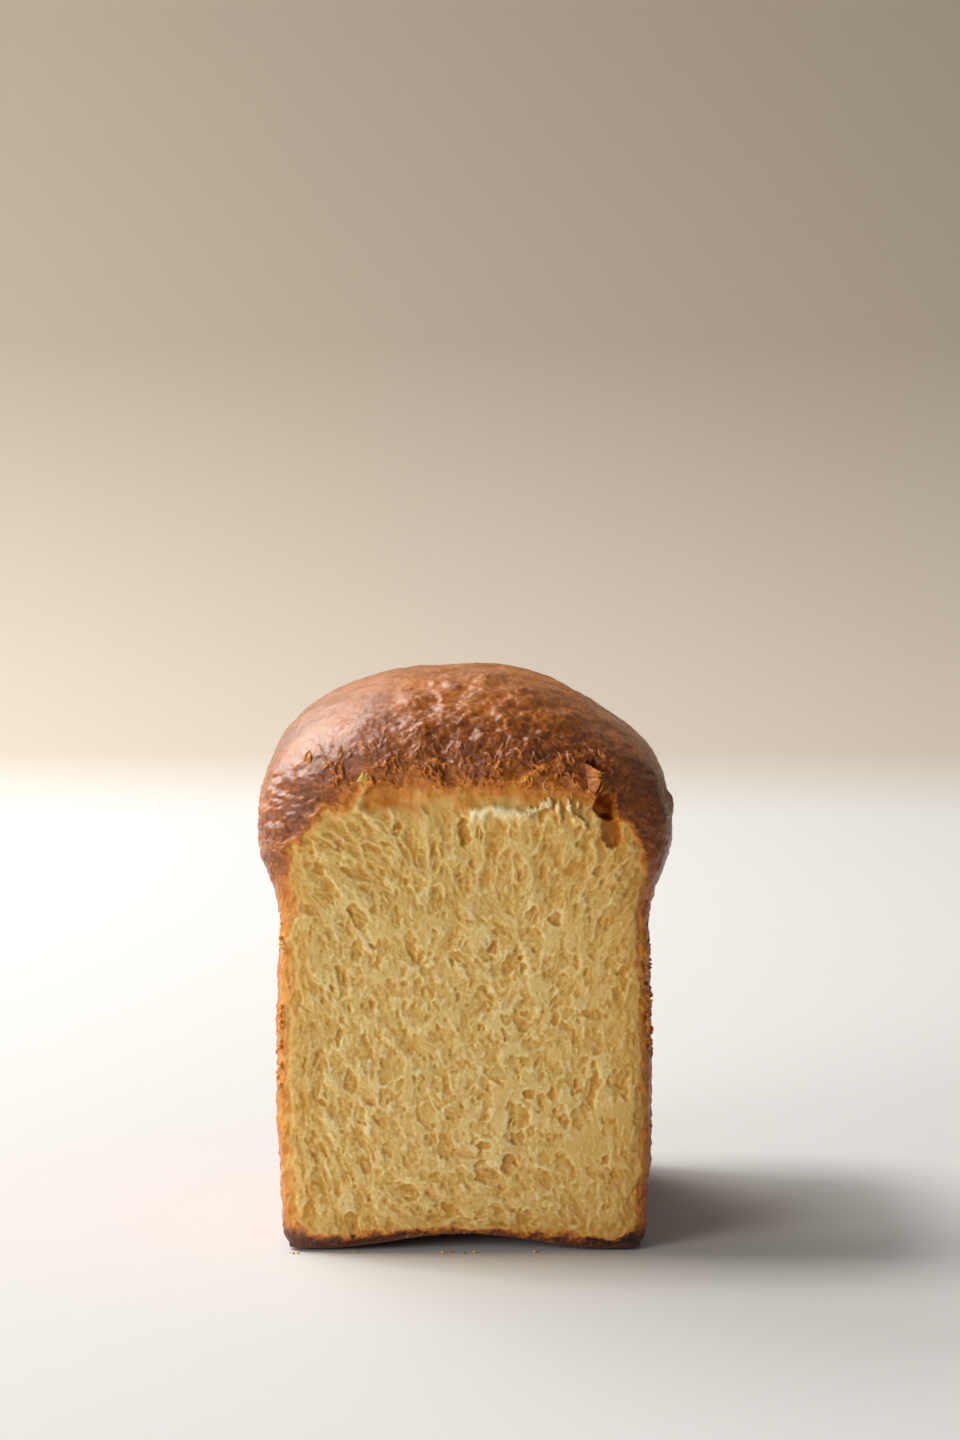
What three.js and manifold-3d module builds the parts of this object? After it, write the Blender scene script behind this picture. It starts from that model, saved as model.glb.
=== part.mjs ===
// Half of a brioche loaf, torn from a loaf of two buns baked in one tin.
// It stands on its base. The torn crumb faces -Y, and the other sides are crust.
// The crust spreads over the rim of the tin as a cap, and rises to a dome.
// Millimetres, +Z up. The origin is on the resting plane, under the middle of the loaf.
import * as THREE from "three";
import { mergeVertices } from "three/addons/utils/BufferGeometryUtils.js";
import Module from "manifold-3d";

const wasm = await Module();
wasm.setup();

// ---- Driving dimensions ----
const HEIGHT = 148.2; // top of the dome
const BASE_WIDTH = 93.8; // across the sides where the loaf stands
const BELLY_SWELL = 1.4; // how far each side swells out half way up the tin
const NECK_SPREAD = 0.5; // how much wider each side is at the neck than at the base
const NECK_HEIGHT = 87; // rim of the tin, where the cap starts to spread
const CAP_HEIGHT = 112; // where the cap is widest
const CAP_WIDTH = 108.4;
const TEAR_TOP = 121; // where the crust of the dome meets the torn crumb
const FRONT = 53.6; // from the middle to the rim of the crust at the tear
const BACK = 55; // from the middle to the back wall below the cap
const CAP_OVERHANG = 6; // how far the cap stands out over the back wall
const DOME_PEAK_Y = 2;
const DOME_POWER = 2.2; // 2 would be an ellipse, more is squarer
const FOOT_ROUND = 4; // the rounded lower edge
const ARCH_RISE = 3.9; // the base is hollow under the middle of the torn face
const ARCH_HALF_WIDTH = 37;
const ARCH_DEPTH = 62; // how far back the hollow fades out
const ARCH_FADE = 16; // how far up the crumb follows the hollow

const CRUMB_PROUD = 1.4; // how far the torn crumb stands out past the crust
const CRUMB_SET_IN = 6; // how deep its block is set into the crust
const CRUMB_RELIEF = 1.1;
const CRUST_RELIEF = 0.8;
const RIM_LEFT = 4.4; // width of the crust that shows beside the crumb
const RIM_RIGHT = 3.2;
const RIM_BASE = 2.6; // thickness of the crust under the crumb

const AROUND = 52; // points round each ring of the crust, a multiple of 4
const FOOT_RINGS = 4;
const FLAT_SHARE = 0.75; // the share of the foot rings that lie under the loaf
const WALL_RINGS = 17;
const DOME_RINGS = 11;
const CRUMB_COLUMNS = 30;
const CRUMB_ROWS = 38;

const BREAD = new THREE.MeshStandardMaterial({ color: 0xc98a4b, roughness: 0.75, metalness: 0 });

// ---- Small helpers ----
const { clamp, lerp, smoothstep } = THREE.MathUtils;

// A seeded generator, so that the loaf is the same each time.
function randomFrom(seed) {
  let state = seed;
  return () => {
    state = (Math.imul(state, 1664525) + 1013904223) >>> 0;
    return state / 2 ** 32;
  };
}

// A number from -1 to 1 for a whole-number corner of the noise lattice.
function latticeValue(i, j, k) {
  const wave = Math.sin(i * 127.1 + j * 311.7 + k * 74.7) * 43758.5453;
  return 2 * (wave - Math.floor(wave)) - 1;
}

// Smooth noise from -1 to 1, with lumps about one unit wide.
function noise(x, y, z) {
  const cell = [x, y, z].map(Math.floor);
  const [fx, fy, fz] = [x, y, z].map((value, axis) => smoothstep(value - cell[axis], 0, 1));
  let sum = 0;
  for (const [dx, dy, dz] of CUBE_CORNERS) {
    const weight = (dx ? fx : 1 - fx) * (dy ? fy : 1 - fy) * (dz ? fz : 1 - fz);
    sum += weight * latticeValue(cell[0] + dx, cell[1] + dy, cell[2] + dz);
  }
  return sum;
}
const CUBE_CORNERS = [0, 1, 2, 3, 4, 5, 6, 7].map((n) => [n & 1, (n >> 1) & 1, n >> 2]);

// The falling quarter of a rounded curve: 1 at t = 0, and 0 at t = 1.
const roundOff = (t) => (1 - clamp(t, 0, 1) ** DOME_POWER) ** (1 / DOME_POWER);

// Straight lines through a list of [height, value] pairs.
function between(pairs, height) {
  const next = pairs.findIndex(([top]) => height <= top);
  if (next < 0) return pairs.at(-1)[1];
  if (next === 0) return pairs[0][1];
  const [low, from] = pairs[next - 1];
  const [high, to] = pairs[next];
  return lerp(from, to, (height - low) / (high - low));
}

// A three.js geometry as a closed solid.
function solidOf(geometry) {
  geometry.deleteAttribute("normal");
  geometry.deleteAttribute("uv");
  const merged = mergeVertices(geometry, 1e-4);
  const vertProperties = new Float32Array(merged.attributes.position.array);
  const triVerts = new Uint32Array(merged.index.array);
  return new wasm.Manifold(new wasm.Mesh({ numProp: 3, vertProperties, triVerts }));
}

// A closed solid as a three.js geometry.
function geometryOf(solid) {
  const { numProp, vertProperties, triVerts } = solid.getMesh();
  const positions = new Float32Array((vertProperties.length / numProp) * 3);
  for (let i = 0; i * 3 < positions.length; i += 1) {
    positions.set(vertProperties.subarray(i * numProp, i * numProp + 3), i * 3);
  }
  return new THREE.BufferGeometry()
    .setAttribute("position", new THREE.BufferAttribute(positions, 3))
    .setIndex(new THREE.BufferAttribute(new Uint32Array(triVerts), 1));
}

// ---- The outline of the loaf at each height ----
const domeShare = (height) => (height - CAP_HEIGHT) / (HEIGHT - CAP_HEIGHT);

// Half of the loaf's width: a tin that swells a little, the spread cap, then the dome.
function halfWidth(height) {
  if (height > CAP_HEIGHT) return (CAP_WIDTH / 2) * roundOff(domeShare(height));
  const up = Math.min(height / NECK_HEIGHT, 1);
  const tin = BASE_WIDTH / 2 + BELLY_SWELL * Math.sin(Math.PI * up) + NECK_SPREAD * up;
  return lerp(tin, CAP_WIDTH / 2, capSpread(height));
}

const capSpread = (height) => smoothstep(height, NECK_HEIGHT - 2, CAP_HEIGHT - 5);

function backAt(height) {
  if (height > CAP_HEIGHT) return lerp(DOME_PEAK_Y, BACK + CAP_OVERHANG, roundOff(domeShare(height)));
  return BACK + CAP_OVERHANG * capSpread(height);
}

function frontAt(height) {
  return lerp(DOME_PEAK_Y, -FRONT, roundOff((height - TEAR_TOP) / (HEIGHT - TEAR_TOP)));
}

// How round the corners of the plan are: 0.5 is an ellipse, and near 0 a sharp rectangle.
const frontRoundness = (height) =>
  between([[NECK_HEIGHT, 0.045], [CAP_HEIGHT, 0.15], [TEAR_TOP, 0.21], [HEIGHT, 0.45]], height);
const backRoundness = (height) => between([[NECK_HEIGHT, 0.15], [CAP_HEIGHT, 0.24], [HEIGHT, 0.45]], height);

// Walks the rim of the square from -1 to 1, anticlockwise from the back left corner.
// The steps are closest together at the corners, which are round.
function squareRim(share) {
  const side = Math.floor(share * 4) % 4;
  const along = Math.sin(Math.PI * (share * 4 - Math.floor(share * 4) - 0.5));
  return [[-1, -along], [along, -1], [1, along], [-along, 1]][side];
}

// How far the hollow base lifts a place, less and less further back and further up.
function archLift(x, y, height) {
  const across = Math.cos((Math.PI / 2) * clamp(x / ARCH_HALF_WIDTH, -1, 1)) ** 2;
  const fade = (1 - smoothstep(y + FRONT, 0, ARCH_DEPTH)) * (1 - smoothstep(height, 0, ARCH_FADE));
  return ARCH_RISE * across * fade;
}

// A ring of the loaf: a point of the square's rim, drawn in by inset and set at a height.
function ringPoint([sx, sy], height, inset) {
  const roundness = sy < 0 ? frontRoundness(height) : backRoundness(height);
  const shrink = (Math.abs(sx) ** (1 / roundness) + Math.abs(sy) ** (1 / roundness)) ** -roundness;
  const front = frontAt(height) + inset;
  const back = backAt(height) - inset;
  const x = sx * shrink * (halfWidth(height) - inset);
  const y = (front + back) / 2 + (sy * shrink * (back - front)) / 2;
  return new THREE.Vector3(x, y, height + archLift(x, y, height));
}

// ---- The crust: closed rings from the middle of the base to the top of the dome ----
// Ring 0 is the point under the base, and the last ring is the point at the peak.
function crustPoint(share, ring) {
  const rim = squareRim(share);
  if (ring <= FOOT_RINGS) {
    const reach = ring / FOOT_RINGS;
    const turn = (Math.PI / 2) * clamp((reach - FLAT_SHARE) / (1 - FLAT_SHARE), 0, 1);
    const foot = ringPoint(rim, FOOT_ROUND * (1 - Math.cos(turn)), FOOT_ROUND * (1 - Math.sin(turn)));
    if (reach > FLAT_SHARE) return foot;
    const x = (foot.x * reach) / FLAT_SHARE;
    const y = (foot.y * reach) / FLAT_SHARE;
    return new THREE.Vector3(x, y, archLift(x, y, 0));
  }
  if (ring <= FOOT_RINGS + WALL_RINGS) {
    return ringPoint(rim, lerp(FOOT_ROUND, CAP_HEIGHT, (ring - FOOT_RINGS) / WALL_RINGS), 0);
  }
  const turn = ((Math.PI / 2) * (ring - FOOT_RINGS - WALL_RINGS)) / DOME_RINGS;
  return ringPoint(rim, lerp(CAP_HEIGHT, HEIGHT, Math.sin(turn)), 0);
}

// Slow lumps all over, and short upright wrinkles on the dome over the tear.
function crustRelief({ x, y, z }) {
  const lumps = noise(x / 17, y / 17, z / 17) + 0.5 * noise(x / 7, y / 7, z / 9);
  const nearTear = (1 - smoothstep(y, -48, -36)) * smoothstep(z, TEAR_TOP - 12, TEAR_TOP);
  const wrinkles = noise(x / 3.2, 5, z / 12);
  return CRUST_RELIEF * (lumps * smoothstep(z, 2, 14) + nearTear * wrinkles);
}

function crust() {
  const rings = FOOT_RINGS + WALL_RINGS + DOME_RINGS;
  const geometry = new THREE.SphereGeometry(1, AROUND, rings);
  const position = geometry.attributes.position;
  const middle = new THREE.Vector3(0, 0, HEIGHT / 2);
  for (let i = 0; i < position.count; i += 1) {
    const column = i % (AROUND + 1);
    const ring = rings - Math.floor(i / (AROUND + 1));
    const point = crustPoint((column % AROUND) / AROUND, ring);
    const outwards = point.clone().sub(middle).setZ(Math.max(0, point.z - CAP_HEIGHT)).normalize();
    point.addScaledVector(outwards, crustRelief(point));
    position.setXYZ(i, point.x, point.y, point.z);
  }
  return solidOf(geometry);
}

// ---- The torn crumb: a block set into the front of the crust ----
// Half of the crumb's width on either side, where the crust starts to curl back.
function crumbHalfWidth(height, side) {
  const rim = side < 0 ? RIM_LEFT : RIM_RIGHT;
  const curl = between([[NECK_HEIGHT, 0], [CAP_HEIGHT - 6, 6.5], [CAP_HEIGHT, 13], [TEAR_TOP, 24]], height);
  return halfWidth(height) - rim - curl;
}

function crumbRelief(x, z) {
  const fibres = noise(x / 4, 2, z / 9) + 0.6 * noise(x / 2.4, 9, z / 4.5);
  return CRUMB_RELIEF * (fibres + 0.8 * noise(x / 15, 4, z / 15));
}

function crumb() {
  const geometry = new THREE.BoxGeometry(2, 1, 1, CRUMB_COLUMNS, 1, CRUMB_ROWS);
  const position = geometry.attributes.position;
  for (let i = 0; i < position.count; i += 1) {
    const across = position.getX(i);
    const up = position.getZ(i) + 0.5;
    const height = lerp(RIM_BASE, TEAR_TOP, up);
    const x = across * crumbHalfWidth(height, across);
    const z = height + archLift(x, -FRONT, height);
    const rise = smoothstep(1 - Math.abs(across), -0.01, 0.08) * smoothstep(up, -0.01, 0.04);
    const proud = lerp(-1, CRUMB_PROUD + crumbRelief(x, z), rise * smoothstep(1 - up, -0.01, 0.14));
    const isFace = position.getY(i) < 0;
    position.setXYZ(i, x, isFace ? -FRONT - proud : -FRONT + CRUMB_SET_IN, z);
  }
  return solidOf(geometry);
}

// ---- Pores, tears and lips ----
function egg([x, y, z], [wide, deep, tall], tilt = 0, sides = 8) {
  const geometry = new THREE.SphereGeometry(0.5, sides, sides - 1);
  geometry.scale(wide, tall, deep).rotateX(Math.PI / 2).rotateY(tilt).translate(x, y, z);
  return solidOf(geometry);
}

const CRUMB_FACE = -FRONT - CRUMB_PROUD;

// The holes that the eye finds first: place on the torn face, then width, depth, height and tilt.
const LARGE_HOLES = [
  [0, 109.5, 4, 9, 7, 0.1], // under the lip
  [-17.3, 109.9, 2.8, 6, 3.4, 0.2],
  [-37.5, 99.9, 4, 6, 3.4, -0.3],
  [-27.3, 87.6, 4.2, 6, 7.5, -0.5],
  [10.2, 81.8, 7.2, 6, 7.6, -0.3],
  [23.5, 86.8, 4.6, 7, 3.8, 0.5],
  [37, 87, 4, 5, 7.5, 0.6],
  [33.5, 62, 7.5, 5, 3, -0.1],
  [33.5, 46.9, 2.6, 5, 6.6, 0],
  [-29.2, 44.7, 3.2, 6, 8, -0.1],
  [-24, 39.3, 3.8, 6, 2.8, 0.2],
  [16.9, 32, 3.8, 5, 4.4, 0.2],
  [5, 28.2, 5, 5, 3, -0.1],
];

// Smaller pores scattered by a seeded draw, tall ones beside the walls and round ones in the middle.
function smallPores(count, seed) {
  const random = randomFrom(seed);
  const pores = [];
  while (pores.length < count) {
    const height = lerp(8, 112, random());
    const across = 2 * random() - 1;
    const x = across * (crumbHalfWidth(height, across) - 4);
    const size = lerp(2.6, 5, random() ** 2);
    const stretch = lerp(1.1, 2.3, Math.abs(across) * random());
    const clear = pores.every((pore) => Math.hypot(pore.x - x, (pore.z - height) / 1.5) > 4.4);
    if (clear) pores.push({ x, z: height, size, stretch, tilt: 0.5 * (random() - 0.5) });
  }
  return pores.map(({ x, z, size, stretch, tilt }) =>
    egg([x, CRUMB_FACE, z], [size, size * 1.6, size * stretch], tilt, 5),
  );
}

function holes() {
  const large = LARGE_HOLES.map(([x, z, wide, deep, tall, tilt]) =>
    egg([x, CRUMB_FACE, z], [wide, deep, tall], tilt),
  );
  // The crust has split beside the right shoulder: a deep pocket with a slit over it.
  const pocket = egg([34.2, -53, 115.5], [6, 14, 12], -0.25);
  const slit = egg([34, -49, 125], [4, 9, 7], -0.5);
  return [...large, pocket, slit, ...smallPores(46, 7)];
}

// What stands proud: the torn lip over the crumb, a blister, and shreds along the tear.
function crags() {
  const lip = egg([9.8, CRUMB_FACE + 0.6, 114.2], [17, 4.4, 1.8], 0.06, 10);
  const blister = egg([52.6, -30, 115], [3.4, 7, 8], 0);
  const random = randomFrom(11);
  const shreds = Array.from({ length: 11 }, (_, n) => {
    const x = lerp(-27, 29, (n + 0.6 * random()) / 11);
    const tall = lerp(4, 9, random());
    return egg([x, -FRONT + 0.3, TEAR_TOP - 1 + 2 * random()], [1.5, 3, tall], 0.3 * (random() - 0.5), 6);
  });
  return [lip, blister, ...shreds];
}

// ---- The loaf ----
function loaf() {
  const body = [crumb(), ...crags()].reduce((whole, piece) => whole.add(piece), crust());
  const opened = holes().reduce((whole, hole) => whole.subtract(hole), body);
  const pieces = opened.decompose().sort((a, b) => b.volume() - a.volume());
  const geometry = geometryOf(pieces[0]);
  geometry.computeBoundingBox();
  const { min, max } = geometry.boundingBox;
  return geometry.translate(-(min.x + max.x) / 2, -(min.y + max.y) / 2, -min.z);
}

const brioche = new THREE.Group();
const mesh = new THREE.Mesh(loaf(), BREAD);
mesh.name = "brioche";
brioche.add(mesh);

export default brioche;
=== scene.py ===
"""Looks for half of a torn brioche loaf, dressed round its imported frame.

The loaf stands on its base with the torn crumb towards -Y. Sizes are millimetres in the
classes below, and metres once a mesh is made. Every piece rides on the one body, root.
"""

from __future__ import annotations

import logging
import math
from dataclasses import dataclass, field
from enum import Enum

import bmesh
import bpy
import numpy as np
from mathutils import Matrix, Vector

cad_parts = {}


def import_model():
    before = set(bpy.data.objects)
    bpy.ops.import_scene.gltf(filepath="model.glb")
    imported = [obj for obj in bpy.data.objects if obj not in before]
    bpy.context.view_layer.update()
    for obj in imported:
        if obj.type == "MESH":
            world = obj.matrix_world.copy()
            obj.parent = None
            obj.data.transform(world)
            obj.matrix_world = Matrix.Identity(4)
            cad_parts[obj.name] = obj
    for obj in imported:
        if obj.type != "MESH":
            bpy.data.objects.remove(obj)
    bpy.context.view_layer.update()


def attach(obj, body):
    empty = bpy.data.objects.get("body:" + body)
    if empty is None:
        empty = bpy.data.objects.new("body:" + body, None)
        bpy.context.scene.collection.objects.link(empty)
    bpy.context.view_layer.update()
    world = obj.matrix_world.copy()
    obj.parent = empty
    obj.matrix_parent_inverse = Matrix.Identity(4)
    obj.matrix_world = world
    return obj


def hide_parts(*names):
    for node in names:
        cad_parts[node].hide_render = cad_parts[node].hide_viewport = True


LOG = logging.getLogger("brioche")
MM = 0.001
Array = np.ndarray
Socket = bpy.types.NodeSocket
Material = bpy.types.Material
Mesh = bpy.types.Mesh
Shell = bmesh.types.BMesh
Tone = tuple[float, float, float, float]
Stops = tuple[tuple[float, Tone], ...]


# ---- Numbers and noise ----------------------------------------------------------------


def smooth(value: Array, low: float, high: float) -> Array:
    """Rises from 0 at low to 1 at high along a smooth curve."""
    t = np.clip((value - low) / (high - low), 0.0, 1.0)
    return t * t * (3.0 - 2.0 * t)


def fall(value: Array, low: float, high: float) -> Array:
    """Falls from 1 at low to 0 at high along a smooth curve."""
    return 1.0 - smooth(value, low, high)


def mix(start: Array | float, end: Array | float, share: Array | float) -> Array:
    """Goes from start to end by a share of 0 to 1."""
    return start + (end - start) * share


def bell(offset: Array, reach: float) -> Array:
    """A bump of height 1 that has faded at two reaches from its middle."""
    return np.exp(-((offset / reach) ** 2))


class Noise:
    """Seeded smooth noise on arrays of points, with lumps about one unit wide."""

    SIZE = 256
    GAIN = 1.7
    GRAIN_SHIFT = 0.45
    GRAIN_SIZE = 0.6
    LAYER_SHIFT = 7.3

    def __init__(self, seed: int) -> None:
        """Draws the lattice.

        Args:
            seed: the number that settles every value of this noise.
        """
        draw = np.random.default_rng(seed)
        self.table = draw.permutation(self.SIZE)
        arrows = draw.normal(size=(self.SIZE, 3))
        self.arrows = (arrows / np.linalg.norm(arrows, axis=1)[:, None]).T.astype(np.float32)

    @staticmethod
    def split(x: Array, y: Array | float, z: Array) -> tuple[list[Array], list[Array]]:
        """The lattice cells of places, and how far into its cell each place lies.

        Args:
            x: first coordinates.
            y: second coordinates.
            z: third coordinates.

        Returns:
            The cells, and the shares of 0 to 1 in them.
        """
        places = [np.broadcast_to(a, np.shape(x)).ravel() for a in (x, y, z)]
        cells = [np.floor(a).astype(int) for a in places]
        return cells, [(a - c).astype(np.float32) for a, c in zip(places, cells)]

    def arrows_at(self, cells: list[Array], corner: tuple[int, ...]) -> Array:
        """The arrows that stand on one corner of the cells, with a row for each axis.

        Args:
            cells: the cells, an array for each axis.
            corner: 0 or 1 for each axis.

        Returns:
            An array of three rows.
        """
        index = 0
        for cell, step in zip(cells, corner):
            index = self.table[(index + cell + step) % self.SIZE]
        return self.arrows[:, index]

    def at(self, x: Array, y: Array | float, z: Array) -> Array:
        """Noise of about -1 to 1.

        Args:
            x: first coordinates, in lumps.
            y: second coordinates, or one number for all of them.
            z: third coordinates.

        Returns:
            An array shaped like x.
        """
        cells, inside = self.split(x, y, z)
        fades = [t**3 * (t * (t * 6 - 15) + 10) for t in inside]
        total = np.zeros(len(inside[0]), np.float32)
        for corner in np.ndindex(2, 2, 2):
            steps = zip(self.arrows_at(cells, corner), inside, corner)
            slope = sum(arrow * (t - step) for arrow, t, step in steps)
            total += slope * math.prod(f if step else 1 - f for f, step in zip(fades, corner))
        return self.GAIN * total.astype(float).reshape(np.shape(x))

    def grains(self, x: Array, y: Array, z: Array) -> Array:
        """Rounded grains about one unit wide.

        Args:
            x: first coordinates, in grains.
            y: second coordinates.
            z: third coordinates.

        Returns:
            An array shaped like x: 1 on the middle of a grain, about 0 between the grains.
        """
        cells, inside = self.split(x - 0.5, y - 0.5, z - 0.5)
        nearest = np.full(len(inside[0]), 9.0, np.float32)
        for corner in np.ndindex(2, 2, 2):
            steps = zip(self.arrows_at(cells, corner), inside, corner)
            gap = sum((t - step - self.GRAIN_SHIFT * arrow) ** 2 for arrow, t, step in steps)
            nearest = np.minimum(nearest, gap)
        grain = 1.0 - nearest.astype(float) / self.GRAIN_SIZE
        return np.clip(grain, 0.0, 1.0).reshape(np.shape(x))

    def layers(self, x: Array, y: Array | float, z: Array, count: int, gain: float = 0.5) -> Array:
        """Several sizes of noise on top of each other.

        Args:
            x: first coordinates, in lumps of the largest layer.
            y: second coordinates.
            z: third coordinates.
            count: how many layers, each half as large as the one before.
            gain: how strong each layer is beside the one before.

        Returns:
            An array shaped like x.
        """
        total = np.zeros(np.shape(x))
        for layer in range(count):
            scale = 2.0**layer
            shifted = np.asarray(y) * scale + self.LAYER_SHIFT * layer
            total += gain**layer * self.at(x * scale, shifted, z * scale)
        return total


# ---- The form of the loaf --------------------------------------------------------------


@dataclass(frozen=True)
class LoafForm:
    """The loaf's outer form, from the same sizes as the solid in the frame."""

    height: float = 148.2
    base_width: float = 93.8
    belly_swell: float = 1.4
    neck_spread: float = 0.5
    neck_height: float = 87.0
    cap_height: float = 112.0
    cap_width: float = 108.4
    tear_top: float = 121.0
    front: float = 53.6
    back: float = 55.0
    cap_overhang: float = 6.0
    dome_peak_y: float = 2.0
    dome_power: float = 2.2
    foot_round: float = 4.0
    arch_rise: float = 3.9
    arch_half_width: float = 37.0
    arch_depth: float = 62.0
    arch_fade: float = 16.0
    rim_left: float = 4.4
    rim_right: float = 3.2
    rim_base: float = 2.6
    axis_shift_y: float = -2.45
    """How far the loaf's own axis stands in front of the middle of the frame's box."""

    def round_off(self, t: Array) -> Array:
        """The falling quarter of a rounded curve: 1 at t = 0, and 0 at t = 1."""
        return (1.0 - np.clip(t, 0.0, 1.0) ** self.dome_power) ** (1.0 / self.dome_power)

    def cap_spread(self, height: Array) -> Array:
        """How far the cap has spread over the rim of the tin, from 0 to 1."""
        return smooth(height, self.neck_height - 2.0, self.cap_height - 5.0)

    def dome_share(self, height: Array) -> Array:
        """How far up the dome a height is, from 0 at the cap's widest place to 1."""
        return (height - self.cap_height) / (self.height - self.cap_height)

    def half_width(self, height: Array) -> Array:
        """Half of the loaf's width at a height.

        Args:
            height: heights of the loaf.

        Returns:
            The half width at each.
        """
        up = np.clip(height / self.neck_height, 0.0, 1.0)
        tin = self.base_width / 2 + self.belly_swell * np.sin(math.pi * up) + self.neck_spread * up
        below = mix(tin, self.cap_width / 2, self.cap_spread(height))
        dome = self.cap_width / 2 * self.round_off(self.dome_share(height))
        return np.where(height > self.cap_height, dome, below)

    def back_at(self, height: Array) -> Array:
        """How far back the loaf reaches at a height.

        Args:
            height: heights of the loaf.

        Returns:
            The y of its back at each.
        """
        cap = self.back + self.cap_overhang
        below = self.back + self.cap_overhang * self.cap_spread(height)
        dome = mix(self.dome_peak_y, cap, self.round_off(self.dome_share(height)))
        return np.where(height > self.cap_height, dome, below)

    def front_at(self, height: Array) -> Array:
        """How far forward the loaf reaches at a height."""
        share = (height - self.tear_top) / (self.height - self.tear_top)
        return mix(self.dome_peak_y, -self.front, self.round_off(share))

    def front_roundness(self, height: Array) -> Array:
        """How round the front corners are: 0.5 is an ellipse, and near 0 a rectangle.

        Args:
            height: heights of the loaf.

        Returns:
            The roundness at each.
        """
        return np.interp(
            height,
            [self.neck_height, self.cap_height, self.tear_top, self.height],
            [0.045, 0.15, 0.21, 0.45],
        )

    def back_roundness(self, height: Array) -> Array:
        """How round the back corners are."""
        heights = [self.neck_height, self.cap_height, self.height]
        return np.interp(height, heights, [0.15, 0.24, 0.45])

    def arch_lift(self, x: Array, y: Array, height: Array) -> Array:
        """How far the hollow of the base lifts a place.

        Args:
            x: places across.
            y: how deep they lie.
            height: their heights.

        Returns:
            The lift at each place.
        """
        across = np.cos(math.pi / 2 * np.clip(x / self.arch_half_width, -1.0, 1.0)) ** 2
        fade = fall(y + self.front, 0.0, self.arch_depth)
        return self.arch_rise * across * fade * fall(height, 0.0, self.arch_fade)

    def front_lift(self, x: Array, height: Array) -> Array:
        """How far the hollow of the base lifts a place of the front."""
        return self.arch_lift(x, np.full(np.shape(x), -self.front), height)

    def ring(self, rim_x: Array, rim_y: Array, height: Array, inset: Array) -> Array:
        """Points of the loaf's rings.

        Args:
            rim_x: place on the rim of a square from -1 to 1.
            rim_y: the same, along the loaf's depth.
            height: the height of each ring.
            inset: how far each ring is drawn in.

        Returns:
            An array of three columns.
        """
        roundness = np.where(rim_y < 0, self.front_roundness(height), self.back_roundness(height))
        shrink = (np.abs(rim_x) ** (1 / roundness) + np.abs(rim_y) ** (1 / roundness)) ** -roundness
        front = self.front_at(height) + inset
        back = self.back_at(height) - inset
        x = rim_x * shrink * (self.half_width(height) - inset)
        y = (front + back) / 2 + rim_y * shrink * (back - front) / 2
        return np.stack([x, y, height + self.arch_lift(x, y, height)], axis=-1)

    def skin_y(self, x: Array, height: Array) -> Array:
        """Where the front skin of the loaf lies, seen from the torn side.

        Args:
            x: places across.
            height: their heights.

        Returns:
            Its y at each place, before the axis is shifted.
        """
        roundness = self.front_roundness(height)
        across = np.clip(np.abs(x) / self.half_width(height), 0.0, 0.999)
        deep = (1.0 - across ** (1 / roundness)) ** roundness
        front, back = self.front_at(height), self.back_at(height)
        return (front + back) / 2 - deep * (back - front) / 2

    def crumb_half_width(self, height: Array, side: Array) -> Array:
        """Half of the torn face's width on the left (side below 0) or the right.

        Args:
            height: heights of the loaf.
            side: below 0 for the left.

        Returns:
            The half width at each.
        """
        rim = np.where(side < 0, self.rim_left, self.rim_right)
        heights = [self.neck_height, self.neck_height + 11.0, self.cap_height - 6.0,
                   self.cap_height, self.cap_height + 5.0, self.tear_top]
        curl = np.interp(height, heights, [0.0, 2.6, 7.0, 13.0, 19.0, 26.5])
        return self.half_width(height) - rim - curl


FORM = LoafForm()
TEAR_NOISE = Noise(3)


@dataclass(frozen=True)
class Browning:
    """How browned the front is at distances past the tear, in millimetres."""

    past: tuple[float, ...]
    bake: tuple[float, ...]

    def at(self, past: Array) -> Array:
        """The browning at distances past the tear."""
        return np.interp(past, self.past, self.bake)


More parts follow.
